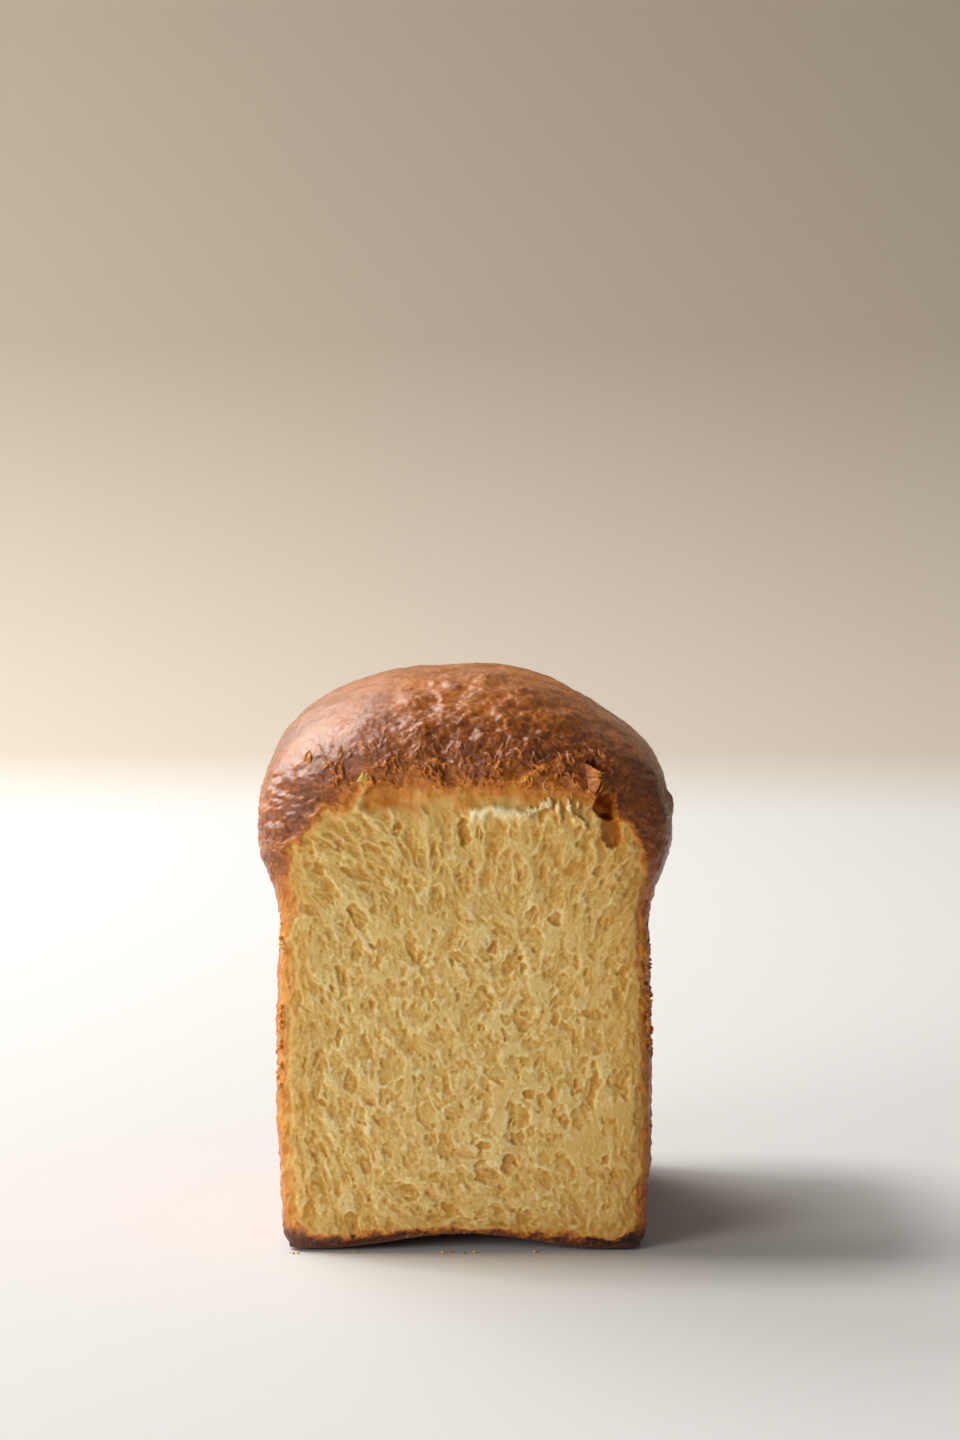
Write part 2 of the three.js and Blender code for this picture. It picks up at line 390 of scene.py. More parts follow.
@dataclass(frozen=True)
class TearLine:
    """Where raw crumb turns to crust, measured outwards from the torn face in millimetres."""

    ragged: float = 1.15
    step: float = 2.5
    # The left strip is painted paler as if lit by the window, the right one browner as if in shade.
    left_wall_lit: float = 0.6
    right_wall_shaded: float = 1.03
    on_wall: Browning = Browning((-1.8, -0.4, 0.6, 2.4, 4.5), (0.0, 0.16, 0.4, 0.55, 0.64))
    on_shoulder: Browning = Browning((-2.0, -0.4, 0.9, 2.8, 8.0), (0.0, 0.18, 0.5, 0.7, 0.76))
    on_brow: Browning = Browning((-9.0, -5.6, -2.2, 0.9, 3.4, 7.0, 13.0),
                                 (0.0, 0.1, 0.24, 0.4, 0.56, 0.68, 0.73))
    on_foot: Browning = Browning((-1.8, -0.6, 0.5, 1.5, 2.8), (0.0, 0.26, 0.52, 0.76, 0.9))

    def outline(self) -> Array:
        """The right half of the torn face's edge, with its left half's widths beside it.

        Returns:
            Rows of a left width, a right width and a height.
        """
        heights = np.arange(FORM.rim_base, FORM.tear_top + self.step, self.step)
        heights = np.minimum(heights, FORM.tear_top)
        right = FORM.crumb_half_width(heights, np.ones(len(heights)))
        left = FORM.crumb_half_width(heights, -np.ones(len(heights)))
        return np.stack([left, right, heights], axis=1)

    def distance(self, x: Array, height: Array) -> Array:
        """How far a place lies outside the smooth edge of the torn face, below 0 inside it.

        Args:
            x: places across.
            height: their heights.

        Returns:
            The distance of each place.
        """
        outline = self.outline()
        near = np.full(np.shape(x), 1e6)
        reach = np.abs(x)
        for start, end in zip(outline[:-1], outline[1:]):
            width = np.where(x < 0, start[0], start[1])
            run = np.where(x < 0, end[0] - start[0], end[1] - start[1])
            rise = end[2] - start[2]
            share = ((reach - width) * run + (height - start[2]) * rise) / (run**2 + rise**2 + 1e-9)
            share = np.clip(share, 0.0, 1.0)
            gap = np.hypot(reach - width - share * run, height - start[2] - share * rise)
            near = np.minimum(near, gap)
        for row in (outline[0], outline[-1]):
            over = np.maximum(reach - np.where(x < 0, row[0], row[1]), 0.0)
            near = np.minimum(near, np.hypot(over, height - row[2]))
        wide = FORM.crumb_half_width(np.clip(height, FORM.rim_base, FORM.tear_top), x)
        inside = (reach < wide) & (height > FORM.rim_base) & (height < FORM.tear_top)
        return np.where(inside, -near, near)

    def outside(self, x: Array, z: Array) -> Array:
        """Distance past the ragged edge of the torn face, below 0 inside it.

        Args:
            x: places across.
            z: their heights.

        Returns:
            The distance of each place.
        """
        height = z - FORM.front_lift(x, z)
        wander = TEAR_NOISE.layers(x / 9.0, 0.5, z / 9.0, 5, 0.68)
        ragged = self.ragged * mix(1.0, 1.8, smooth(z, 96.0, 112.0))
        ragged = ragged * (1.0 - 0.5 * smooth(z, 12.0, 3.0))
        return self.distance(x, height) + ragged * wander

    def brow(self, x: Array, z: Array) -> Array:
        """1 along the top edge of the torn face, and 0 at its shoulders, sides and foot."""
        return smooth(z, 106.0, 116.0) * fall(np.abs(x + 1.0), 27.0, 41.0)

    def bake(self, x: Array, z: Array) -> Array:
        """How browned the front is: 0 is raw crumb, and 1 the darkest crust.

        Args:
            x: places across.
            z: their heights.

        Returns:
            The browning of each place.
        """
        past = self.outside(x, z)
        # Painted light and shade: the left wall's strip paler, the right one browner.
        left = smooth(-x, 20.0, 40.0)
        wall = self.on_wall.at(past) * mix(self.right_wall_shaded, self.left_wall_lit, left)
        streaks = TEAR_NOISE.layers(x / 1.6, 8.0, z / 4.0, 3, 0.6)
        wall += 0.1 * streaks * smooth(past, -0.6, 0.8)
        browned = mix(wall, self.on_shoulder.at(past), smooth(z, 88.0, 102.0))
        spread = 1.0 + 0.4 * TEAR_NOISE.layers(x / 8.0, 12.0, z / 10.0, 2, 0.4)
        past = past + 1.9 + 1.6 * TEAR_NOISE.layers(x / 5.5, 36.0, z / 6.0, 2, 0.4)
        browned = mix(browned, self.on_brow.at(past * spread), self.brow(x, z))
        patches = TEAR_NOISE.layers(x / 5.0, 71.0, z / 3.0, 4, 0.65)
        foot = self.on_foot.at(past + 1.8 * patches)
        return np.clip(mix(foot, browned, smooth(z, 3.0, 9.0)), 0.0, 1.0)


TEAR = TearLine()


@dataclass(frozen=True)
class Hollow:
    """An opening in the torn face or the crust, or a shred that stands up: place, size, depth."""

    x: float
    z: float
    wide: float
    tall: float
    deep: float
    tilt: float = 0.0
    steep: float = 1.5

    def share(self, x: Array, z: Array) -> Array:
        """How far into the opening a place is: 0 outside, 1 at its floor or on its crest.

        Args:
            x: places across.
            z: their heights.

        Returns:
            The share at each place.
        """
        dx, dz = x - self.x, z - self.z
        across = dx * math.cos(self.tilt) + dz * math.sin(self.tilt)
        along = dz * math.cos(self.tilt) - dx * math.sin(self.tilt)
        reach = (2 * across / self.wide) ** 2 + (2 * along / self.tall) ** 2
        return smooth(self.steep * (1.0 - reach), -0.15, 1.0)


SPLITS = (
    Hollow(36.2, 115.8, 6.2, 7.8, 7.0, 0.25, 2.4),
    Hollow(37.9, 109.4, 4.4, 9.5, 3.4, 0.12, 2.0),
    Hollow(35.2, 127.0, 2.8, 7.4, 4.5, 0.95, 2.4),
)

SHREDS = (
    Hollow(17.6, 115.2, 4.0, 2.2, 0.7, 0.2),
    Hollow(20.8, 116.4, 4.4, 2.6, 1.0, 0.3),
    Hollow(24.4, 114.4, 1.9, 8.0, 1.0, 0.1),
    Hollow(27.0, 115.8, 1.6, 6.0, 0.8, 0.25),
    Hollow(29.2, 111.8, 5.0, 3.6, 1.0, -0.5),
)


# ---- The foam of the torn face ----------------------------------------------------------


@dataclass(frozen=True)
class Pull:
    """Which way the crumb is drawn out round a place: degrees from upright, clockwise."""

    x: float
    z: float
    degrees: float
    stretch: float
    reach: float


PULLS = tuple(Pull(*row) for row in (
    (-43.0, 18.0, 4.0, 2.6, 9.0), (-43.0, 38.0, 2.0, 3.4, 10.0), (-43.0, 58.0, 0.0, 3.6, 10.0),
    (-41.0, 78.0, -8.0, 3.4, 9.0), (-38.0, 96.0, -40.0, 3.4, 9.0),
    (-27.0, 101.0, -52.0, 3.0, 9.0), (-26.0, 88.0, -34.0, 3.2, 10.0),
    (-22.0, 68.0, -10.0, 2.4, 12.0), (-30.0, 26.0, -32.0, 2.6, 9.0),
    (-2.0, 104.0, -3.0, 2.6, 11.0), (18.0, 102.0, 5.0, 2.4, 10.0), (36.0, 91.0, 40.0, 2.6, 8.0),
    (43.0, 72.0, 8.0, 3.2, 9.0), (43.0, 52.0, 2.0, 3.4, 10.0), (42.0, 30.0, 0.0, 2.8, 10.0),
    (41.0, 14.0, -4.0, 2.0, 9.0), (-4.0, 75.0, -8.0, 1.9, 14.0), (16.0, 70.0, 10.0, 1.6, 14.0),
    (4.0, 45.0, 12.0, 1.5, 16.0), (-8.0, 28.0, -30.0, 1.6, 12.0), (20.0, 22.0, -35.0, 1.5, 12.0),
    (0.0, 8.0, -80.0, 1.5, 12.0),
))

LARGE_PORES = tuple(Hollow(*row) for row in (
    (0.0, 109.6, 4.6, 8.2, 7.5, 0.1), (-17.3, 109.9, 3.0, 3.8, 4.5, 0.2),
    (10.9, 109.6, 3.8, 4.6, 2.0, 0.1, 1.6), (-37.5, 99.9, 4.2, 3.6, 3.6, -0.3),
    (-27.3, 87.6, 4.4, 8.0, 3.0, 0.5, 1.6), (-27.6, 78.8, 3.0, 7.0, 2.6, -0.1, 1.6),
    (-21.5, 78.0, 3.2, 8.5, 2.2, -0.2, 1.4), (-32.2, 56.7, 1.7, 6.4, 3.0, 0.0),
    (-29.2, 44.7, 3.0, 8.2, 3.2, 0.15), (-24.0, 39.3, 3.8, 2.9, 3.4, -0.2),
    (-36.4, 39.2, 2.2, 2.6, 3.0), (-25.6, 23.0, 4.2, 7.0, 2.6, 0.4, 1.4),
    (-8.4, 29.7, 4.6, 3.6, 2.2, 0.6, 1.6), (10.2, 82.0, 8.0, 8.2, 2.4, 0.3, 1.3),
    (7.7, 79.6, 2.6, 3.4, 5.0, 0.2), (13.2, 79.8, 2.2, 3.0, 4.6),
    (23.4, 86.8, 4.2, 3.2, 5.0, -0.5), (37.0, 87.0, 5.0, 8.4, 2.4, -0.6, 1.4),
    (34.4, 98.9, 2.8, 3.8, 4.4, 0.1), (40.0, 97.5, 2.6, 2.8, 2.4),
    (15.0, 74.4, 2.0, 2.4, 3.4, 0.3), (33.5, 61.8, 9.0, 3.6, 2.6, -0.1, 1.5),
    (33.5, 46.9, 2.4, 7.0, 2.8, 0.05, 1.8), (16.7, 41.6, 3.6, 2.8, 3.0),
    (22.4, 41.2, 1.8, 3.4, 2.6), (17.0, 31.6, 3.4, 4.6, 3.0, -0.4),
    (5.0, 28.0, 4.8, 2.8, 3.2, 0.1), (4.2, 23.0, 3.6, 2.0, 3.0, 0.5), (36.4, 23.8, 1.8, 1.8, 3.0),
))


@dataclass(frozen=True)
class Cells:
    """One size of the foam's open cells: how many, how large and how deep they are cut."""

    count: int
    radius: tuple[float, float]
    depth: float
    sunk: tuple[float, float]


@dataclass(frozen=True)
class Webs:
    """One size of the foam's long cells between thin walls: across, and how deep."""

    size: float
    deep: float
    length: float = 1.0


@dataclass(frozen=True)
class Sinking:
    """How far below its surroundings a place lies, at one size, and what that adds to its pit,
    which paints shade into the crumb's colour.
    """

    reach: int
    scale: float
    share: float


@dataclass
class Foam:
    """A raster of how deep the torn foam is cut at each place, in millimetres."""

    pitch: float = 0.2
    half_width: float = 52.0
    low: float = -3.0
    high: float = 124.0
    seed: int = 20
    webs: tuple[Webs, ...] = (
        Webs(6.5, 0.8, 1.4), Webs(3.1, 0.6, 2.3), Webs(1.5, 0.4, 3.0), Webs(0.8, 0.24, 3.4),
    )
    cells: tuple[Cells, ...] = (
        Cells(340, (1.2, 2.3), 0.4, (-0.2, 0.08)),
        Cells(1500, (0.7, 1.5), 0.5, (-0.2, 0.08)),
        Cells(5200, (0.3, 0.65), 0.7, (-0.1, 0.05)),
    )
    sinkings: tuple[Sinking, ...] = (
        Sinking(2, 0.4, 0.65), Sinking(6, 0.8, 0.45), Sinking(18, 1.8, 0.6),
    )
    curtains: Webs = Webs(4.6, 1.5, 1.3)
    web_share: tuple[float, float] = (0.25, 1.15)
    cell_share: tuple[float, float] = (0.4, 1.15)
    windows: int = 900
    window_width: tuple[float, float] = (0.25, 0.6)
    window_depth: tuple[float, float] = (0.4, 1.8)
    strands: int = 1100
    strand_length: tuple[float, float] = (0.8, 2.6)
    strand_width: tuple[float, float] = (0.2, 0.6)
    strand_rise: tuple[float, float] = (0.1, 0.5)
    strand_strength: tuple[float, float] = (0.3, 0.9)
    bend: float = 0.5
    wander: float = 1.1
    straight_stretch: float = 2.7
    broad_rise: float = 0.9
    rough_rise: float = 0.9
    flake_depth: float = 0.7
    fleck_rise: float = 0.4
    pore_wander: float = 0.8
    pore_share: float = 0.6
    grit: float = 0.1
    depth: Array = field(init=False)
    pit: Array = field(init=False)

    def __post_init__(self) -> None:
        """Lays out the raster and carves it."""
        self.across = np.arange(-self.half_width, self.half_width + self.pitch, self.pitch)
        self.up = np.arange(self.low, self.high + self.pitch, self.pitch)
        self.x, self.z = np.meshgrid(self.across, self.up)
        self.noise = Noise(self.seed)
        self.bent_x = self.x + self.bend * self.layers(3.0, 40.0, 3.0, 3, 0.55)
        self.bent_z = self.z + self.bend * self.layers(3.0, 50.0, 3.0, 3, 0.55)
        self.draw = np.random.default_rng(self.seed)
        self.angle, self.stretch = self.pull(self.x, self.z)
        self.depth = self.torn_surface()
        for webs in self.webs:
            openness = self.openness(self.x, self.z, 3.0 * webs.size)
            self.depth += self.web(webs) * mix(*self.web_share, openness)
        for cells in self.cells:
            self.open_cells(cells)
        self.hang_curtains()
        self.carve_large_pores()
        self.pierce_windows()
        self.depth = self.blur(self.depth, 1, 1)
        self.depth -= self.fleck_rise * self.flecks()
        self.draw_strands()
        self.depth += self.grit * self.layers(0.8, 3.0, 0.9, 2, 0.6)
        # The pit paints shade into the colour of sunken places and a highlight on raised ones.
        pits = (s.share * (self.sunk(s.reach) / s.scale) for s in self.sinkings)
        self.pit = np.clip(sum(pits), -0.85, 1.0)

    def layers(self, across: float, offset: float, up: float, count: int, gain: float) -> Array:
        """Layered noise over the whole raster, with lumps of a width and height."""
        return self.noise.layers(self.x / across, offset, self.z / up, count, gain)

    def sunk(self, reach: int) -> Array:
        """How much deeper each place is than its surroundings."""
        return self.depth - self.blur(self.depth, reach, 2)

    def pull(self, x: Array, z: Array) -> tuple[Array, Array]:
        """The direction and stretch of the crumb at places.

        Args:
            x: places across the face.
            z: their heights.

        Returns:
            Angles from upright in radians, and how much longer than wide a pore is.
        """
        total, cosine, sine, stretch = (np.full(np.shape(x), v) for v in (1e-6, 0.0, 0.0, 1.2e-6))
        for guide in PULLS:
            weight = np.exp(-((x - guide.x) ** 2 + (z - guide.z) ** 2) / (2 * guide.reach**2))
            angle = 2 * math.radians(guide.degrees)
            total = total + weight
            cosine = cosine + weight * math.cos(angle)
            sine = sine + weight * math.sin(angle)
            stretch = stretch + weight * guide.stretch
        stretch = stretch / total
        wander = self.wander * self.noise.layers(x / 10.0, 30.0, z / 10.0, 2, 0.6)
        wander = wander * np.clip(self.straight_stretch - stretch, 0.15, 1.0)
        return 0.5 * np.arctan2(sine, cosine) + wander, stretch

    def openness(self, x: Array, z: Array, layer: float) -> Array:
        """How open the foam is at places: 0 where it is a tight skin, 1 where its cells gape."""
        return smooth(self.noise.layers(x / 7.0, 120.0 + layer, z / 8.0, 3, 0.65), -0.35, 0.4)

    def torn_surface(self) -> Array:
        """The uneven surface that the tear followed, before any pore.

        Returns:
            A raster of depths, below 0 where it stands out.
        """
        broad = self.broad_rise * self.noise.at(self.x / 20.0, 0.2, self.z / 24.0)
        rough = self.rough_rise * self.layers(6.5, 1.1, 8.0, 3, 0.5)
        flake = self.draw_out(self.layers(4.0, 61.0, 5.0, 4, 0.6), 1.6)
        return broad + rough - self.flake_depth * smooth(flake, 0.05, 0.3)

    def hang_curtains(self) -> None:
        """Draws the upper crumb, where it is stretched most, into long soft curtains."""
        edge = self.z + 3.0 * self.noise.at(self.x / 9.0, 90.0, self.z / 9.0)
        stretched = smooth(edge, 86.0, 99.0)
        self.depth = mix(self.depth, self.blur(self.depth, 3, 2), 0.35 * stretched)
        self.depth += stretched * self.web(self.curtains)

    def flecks(self) -> Array:
        """Ragged shreds that stand up with sharp edges: 1 on a shred."""
        shreds = self.draw_out(self.layers(2.6, 130.0, 2.4, 4, 0.75), 0.7)
        return smooth(self.evened(shreds), 1.0, 1.35)

    def evened(self, values: Array) -> Array:
        """Values beside how strong they are round about, so that no part is flat."""
        return values / np.sqrt(self.blur(values**2, 25, 2))

    def draw_out(self, values: Array, reach: float) -> Array:
        """Averages a raster along the pull, further where the crumb is stretched more.

        Args:
            values: the raster.
            reach: how far to each side, for one unit of stretch.

        Returns:
            The averaged raster.
        """
        step = reach * (self.stretch - 0.7) / 4
        across, up = step * np.sin(self.angle), step * np.cos(self.angle)
        total = values.copy()
        for count in (-4, -3, -2, -1, 1, 2, 3, 4):
            total += self.sample(values, self.x + count * across, self.z + count * up)
        return total / 9

    def web(self, webs: Webs) -> Array:
        """Long cells with thin walls between them.

        Args:
            webs: their size, length and depth.

        Returns:
            A raster of depths.
        """
        grain = self.noise.at(self.bent_x / webs.size, 80.0 + webs.size, self.bent_z / webs.size)
        level = np.abs(self.evened(self.draw_out(grain, webs.size * webs.length)))
        return webs.deep * (1.0 - np.exp(-level / 0.5))

    def window(self, x: float, z: float, reach: float) -> tuple[slice, slice]:
        """The part of the raster within a reach of a place.

        Args:
            x: the place across.
            z: its height.
            reach: how far to each side.

        Returns:
            Its rows and its columns.
        """
        columns = (np.array([x - reach, x + reach]) + self.half_width) / self.pitch
        rows = (np.array([z - reach, z + reach]) - self.low) / self.pitch
        first, last = np.clip(np.floor(columns).astype(int), 0, len(self.across))
        bottom, top = np.clip(np.floor(rows).astype(int), 0, len(self.up))
        return slice(bottom, top + 1), slice(first, last + 1)

    def around(self, x: float, z: float, angle: float,
               reach: float) -> tuple[tuple[slice, slice], Array, Array]:
        """The raster near a place, along and across a direction, with bent edges.

        Args:
            x: the place across.
            z: its height.
            angle: the direction, from upright.
            reach: how far to each side.

        Returns:
            Its rows and columns, then how far its cells lie along and across.
        """
        part = self.window(x, z, reach + 1.0)
        dx, dz = self.bent_x[part] - x, self.bent_z[part] - z
        cosine, sine = math.cos(angle), math.sin(angle)
        return part, dz * cosine + dx * sine, dx * cosine - dz * sine

    def scatter(self, count: int, spread: float) -> tuple[Array, Array, Array, Array]:
        """Places all over the face, with the pull there.

        Args:
            count: how many.
            spread: how much the angles differ, in radians.

        Returns:
            Places across and up, angles and stretches.
        """
        x = self.draw.uniform(-self.half_width, self.half_width, count)
        z = self.draw.uniform(self.low, self.high, count)
        angle, stretch = self.pull(x, z)
        stretch = 1.0 + (stretch - 1.0) * self.draw.uniform(0.6, 1.5, count)
        return x, z, angle + self.draw.normal(0.0, spread, count), stretch

    def open_cells(self, cells: Cells) -> None:
        """Cuts rounded cups of one size into the surface, so that ridges stay between them.

        Args:
            cells: their number, sizes and depth.
        """
        x, z, angle, stretch = self.scatter(cells.count, 0.25)
        radius = mix(*cells.radius, self.draw.uniform(0, 1, cells.count) ** 2)
        radius *= mix(*self.cell_share, self.openness(x, z, 9.0))
        sunk = self.draw.uniform(*cells.sunk, cells.count)
        surface = self.sample(self.depth, x, z)
        cut = self.depth.copy()
        for n in range(cells.count):
            long, wide = radius[n] * stretch[n] ** 0.6, radius[n] / stretch[n] ** 0.4
            part, along, across = self.around(x[n], z[n], angle[n], long)
            room = 1.0 - (along / long) ** 2 - (across / wide) ** 2
            cup = sunk[n] + cells.depth * np.sqrt(np.clip(room, 0.0, None))
            cup = surface[n] + radius[n] * cup
            now = cut[part]
            inside = (room > 0) & (cup > now)
            now[inside] = cup[inside]
        self.depth = cut

    def carve_large_pores(self) -> None:
        """Opens the pores and holes that the eye finds first, with uneven edges."""
        wander_x = self.pore_wander * self.layers(3.5, 11.0, 3.5, 3, 0.6)
        wander_z = self.pore_wander * self.layers(3.5, 17.0, 3.5, 3, 0.6)
        for pore in LARGE_PORES:
            carved = self.pore_share * pore.deep * pore.share(self.x + wander_x, self.z + wander_z)
            self.depth = np.maximum(self.depth, carved + 0.7 * self.depth)

    def pierce_windows(self) -> None:
        """Opens small deep holes at the bottom of some cells."""
        x, z, angle, stretch = self.scatter(self.windows, 0.5)
        wide = self.draw.uniform(*self.window_width, self.windows)
        deep = self.draw.uniform(*self.window_depth, self.windows)
        low = self.sample(self.sunk(6), x, z) > 0.05
        for n in np.flatnonzero(low):
            long = wide[n] * stretch[n]
            part, along, across = self.around(x[n], z[n], angle[n], long)
            room = np.clip(1.0 - (along / long) ** 2 - (across / wide[n]) ** 2, 0.0, 1.0)
            self.depth[part] += deep[n] * room**0.6

    def draw_strands(self) -> None:
        """Lays long thin strands along the pull, which bridge the hollows."""
        count = self.strands
        x, z, angle, stretch = self.scatter(count, 0.4)
        long = self.draw.uniform(*self.strand_length, count) * stretch**0.8
        wide = self.draw.uniform(*self.strand_width, count)
        rise = self.draw.uniform(*self.strand_rise, count)
        strength = self.draw.uniform(*self.strand_strength, count)
        bend = self.draw.normal(0.0, 0.07, count)
        level = self.blur(self.depth, 7, 2)
        for n in range(count):
            part, along, across = self.around(x[n], z[n], angle[n], 2 * long[n])
            across = across + bend[n] * along**2
            weight = strength[n] * bell(along, long[n]) * bell(across, wide[n])
            self.depth[part] = mix(self.depth[part], level[part] - rise[n], weight)

    @staticmethod
    def blur(values: Array, reach: int, times: int) -> Array:
        """Averages each place with its neighbours.

        Args:
            values: the raster.
            reach: how many cells on each side.
            times: how often, because several passes are softer.

        Returns:
            The softened raster.
        """
        span = 2 * reach + 1
        for _ in range(times):
            for axis in (0, 1):
                values = np.swapaxes(values, 0, axis)
                padded = np.pad(values, [(reach + 1, reach), (0, 0)], mode="edge")
                sums = np.cumsum(padded, axis=0)
                values = np.swapaxes((sums[span:] - sums[:-span]) / span, 0, axis)
        return values

    def sample(self, raster: Array, x: Array, z: Array) -> Array:
        """Reads a raster between its cells.

        Args:
            raster: the raster.
            x: places across.
            z: their heights.

        Returns:
            The value at each place.
        """
        column = np.clip((x + self.half_width) / self.pitch, 0, len(self.across) - 1.001)
        row = np.clip((z - self.low) / self.pitch, 0, len(self.up) - 1.001)
        i, j = row.astype(int), column.astype(int)
        v, u = row - i, column - j
        low = mix(raster[i, j], raster[i, j + 1], u)
        high = mix(raster[i + 1, j], raster[i + 1, j + 1], u)
        return mix(low, high, v)


# ---- Finishes ---------------------------------------------------------------------------


def tone(red: int, green: int, blue: int) -> Tone:
    """A screen colour as the linear colour that a shader takes.

    Args:
        red: its red, from 0 to 255.
        green: its green.
        blue: its blue.

    Returns:
        The colour, with an alpha of 1.
    """

    def linear(level: int) -> float:
        """One channel, from a level of 0 to 255."""
        share = level / 255
        return share / 12.92 if share <= 0.04045 else ((share + 0.055) / 1.055) ** 2.4

    return linear(red), linear(green), linear(blue), 1.0


class Shader:
    """A material and a few short ways to add nodes to it."""

    def __init__(self, name: str) -> None:
        """Starts the material with a Principled shader.

        Args:
            name: the material's name.
        """
        self.material = bpy.data.materials.new(name)
        self.material.use_nodes = True
        self.nodes = self.material.node_tree.nodes
        self.links = self.material.node_tree.links
        self.surface = self.nodes["Principled BSDF"]
        self.place = self.nodes.new("ShaderNodeTexCoord").outputs["Object"]

    def attribute(self, name: str) -> Socket:
        """The value of one of the mesh's own attributes.

        Args:
            name: its name.

        Returns:
            The socket of its value.
        """
        node = self.nodes.new("ShaderNodeAttribute")
        node.attribute_name = name
        return node.outputs["Fac"]

    def noise(self, size: float, detail: float, rough: float) -> Socket:
        """Noise with lumps of a size in millimetres.

        Args:
            size: the size of the lumps.
            detail: how many finer layers.
            rough: how strong those are.

        Returns:
            The socket of its value.
        """
        mapping = self.nodes.new("ShaderNodeMapping")
        mapping.inputs["Scale"].default_value = (1.0 / (size * MM),) * 3
        self.links.new(self.place, mapping.inputs["Vector"])
        node = self.nodes.new("ShaderNodeTexNoise")
        node.inputs["Scale"].default_value = 1.0
        node.inputs["Detail"].default_value = detail
        node.inputs["Roughness"].default_value = rough
        self.links.new(mapping.outputs["Vector"], node.inputs["Vector"])
        return node.outputs["Fac"]

    def math(self, kind: str, *values: Socket | float) -> Socket:
        """A Math node on sockets or numbers.

        Args:
            kind: the operation.
            *values: what it works on.

        Returns:
            The socket of its result.
        """
        node = self.nodes.new("ShaderNodeMath")
        node.operation = kind
        for slot, value in enumerate(values):
            if isinstance(value, Socket):
                self.links.new(value, node.inputs[slot])
            else:
                node.inputs[slot].default_value = value
        return node.outputs[0]

    def scale(self, value: Socket, by: float, plus: Socket | float) -> Socket:
        """A value times a number, plus a number or another value."""
        return self.math("MULTIPLY_ADD", value, by, plus)

    def ramp(self, value: Socket, stops: Stops) -> Socket:
        """Colours along a value.

        Args:
            value: the value.
            stops: places on it and their colours.

        Returns:
            The socket of the colour.
        """
        node = self.nodes.new("ShaderNodeValToRGB")
        elements = node.color_ramp.elements
        while len(elements) < len(stops):
            elements.new(0.5)
        for element, (place, colour) in zip(elements, stops):
            element.position = place
            element.color = colour
        self.links.new(value, node.inputs["Fac"])
        return node.outputs["Color"]

    def blend(self, share: Socket, first: Socket, second: Socket | Tone) -> Socket:
        """Mixes two colours.

        Args:
            share: how much of the second.
            first: one colour.
            second: the other.

        Returns:
            The socket of the colour.
        """
        node = self.nodes.new("ShaderNodeMix")
        node.data_type = "RGBA"
        self.links.new(share, node.inputs["Factor"])
        self.links.new(first, node.inputs["A"])
        if isinstance(second, tuple):
            node.inputs["B"].default_value = second
        else:
            self.links.new(second, node.inputs["B"])
        return node.outputs["Result"]

    def step(self, value: Socket, low: float, high: float) -> Socket:
        """Rises from 0 at low to 1 at high along a smooth curve.

        Args:
            value: the value.
            low: where it starts to rise.
            high: where it ends.

        Returns:
            The socket of its result.
        """
        node = self.nodes.new("ShaderNodeMapRange")
        node.interpolation_type = "SMOOTHSTEP"
        node.inputs["From Min"].default_value = low
        node.inputs["From Max"].default_value = high
        self.links.new(value, node.inputs["Value"])
        return node.outputs["Result"]

    def bump(self, height: Socket, distance: float) -> None:
        """Low relief of a depth in millimetres.

        Args:
            height: the socket of the relief.
            distance: its depth.
        """
        node = self.nodes.new("ShaderNodeBump")
        node.inputs["Distance"].default_value = distance * MM
        node.inputs["Strength"].default_value = 1.0
        self.links.new(height, node.inputs["Height"])
        self.links.new(node.outputs["Normal"], self.surface.inputs["Normal"])

    def set(self, **values: float | tuple[float, ...]) -> None:
        """Sets plain numbers on the surface's own sockets, with _ for a space."""
        for name, value in values.items():
            self.surface.inputs[name.replace("_", " ")].default_value = value


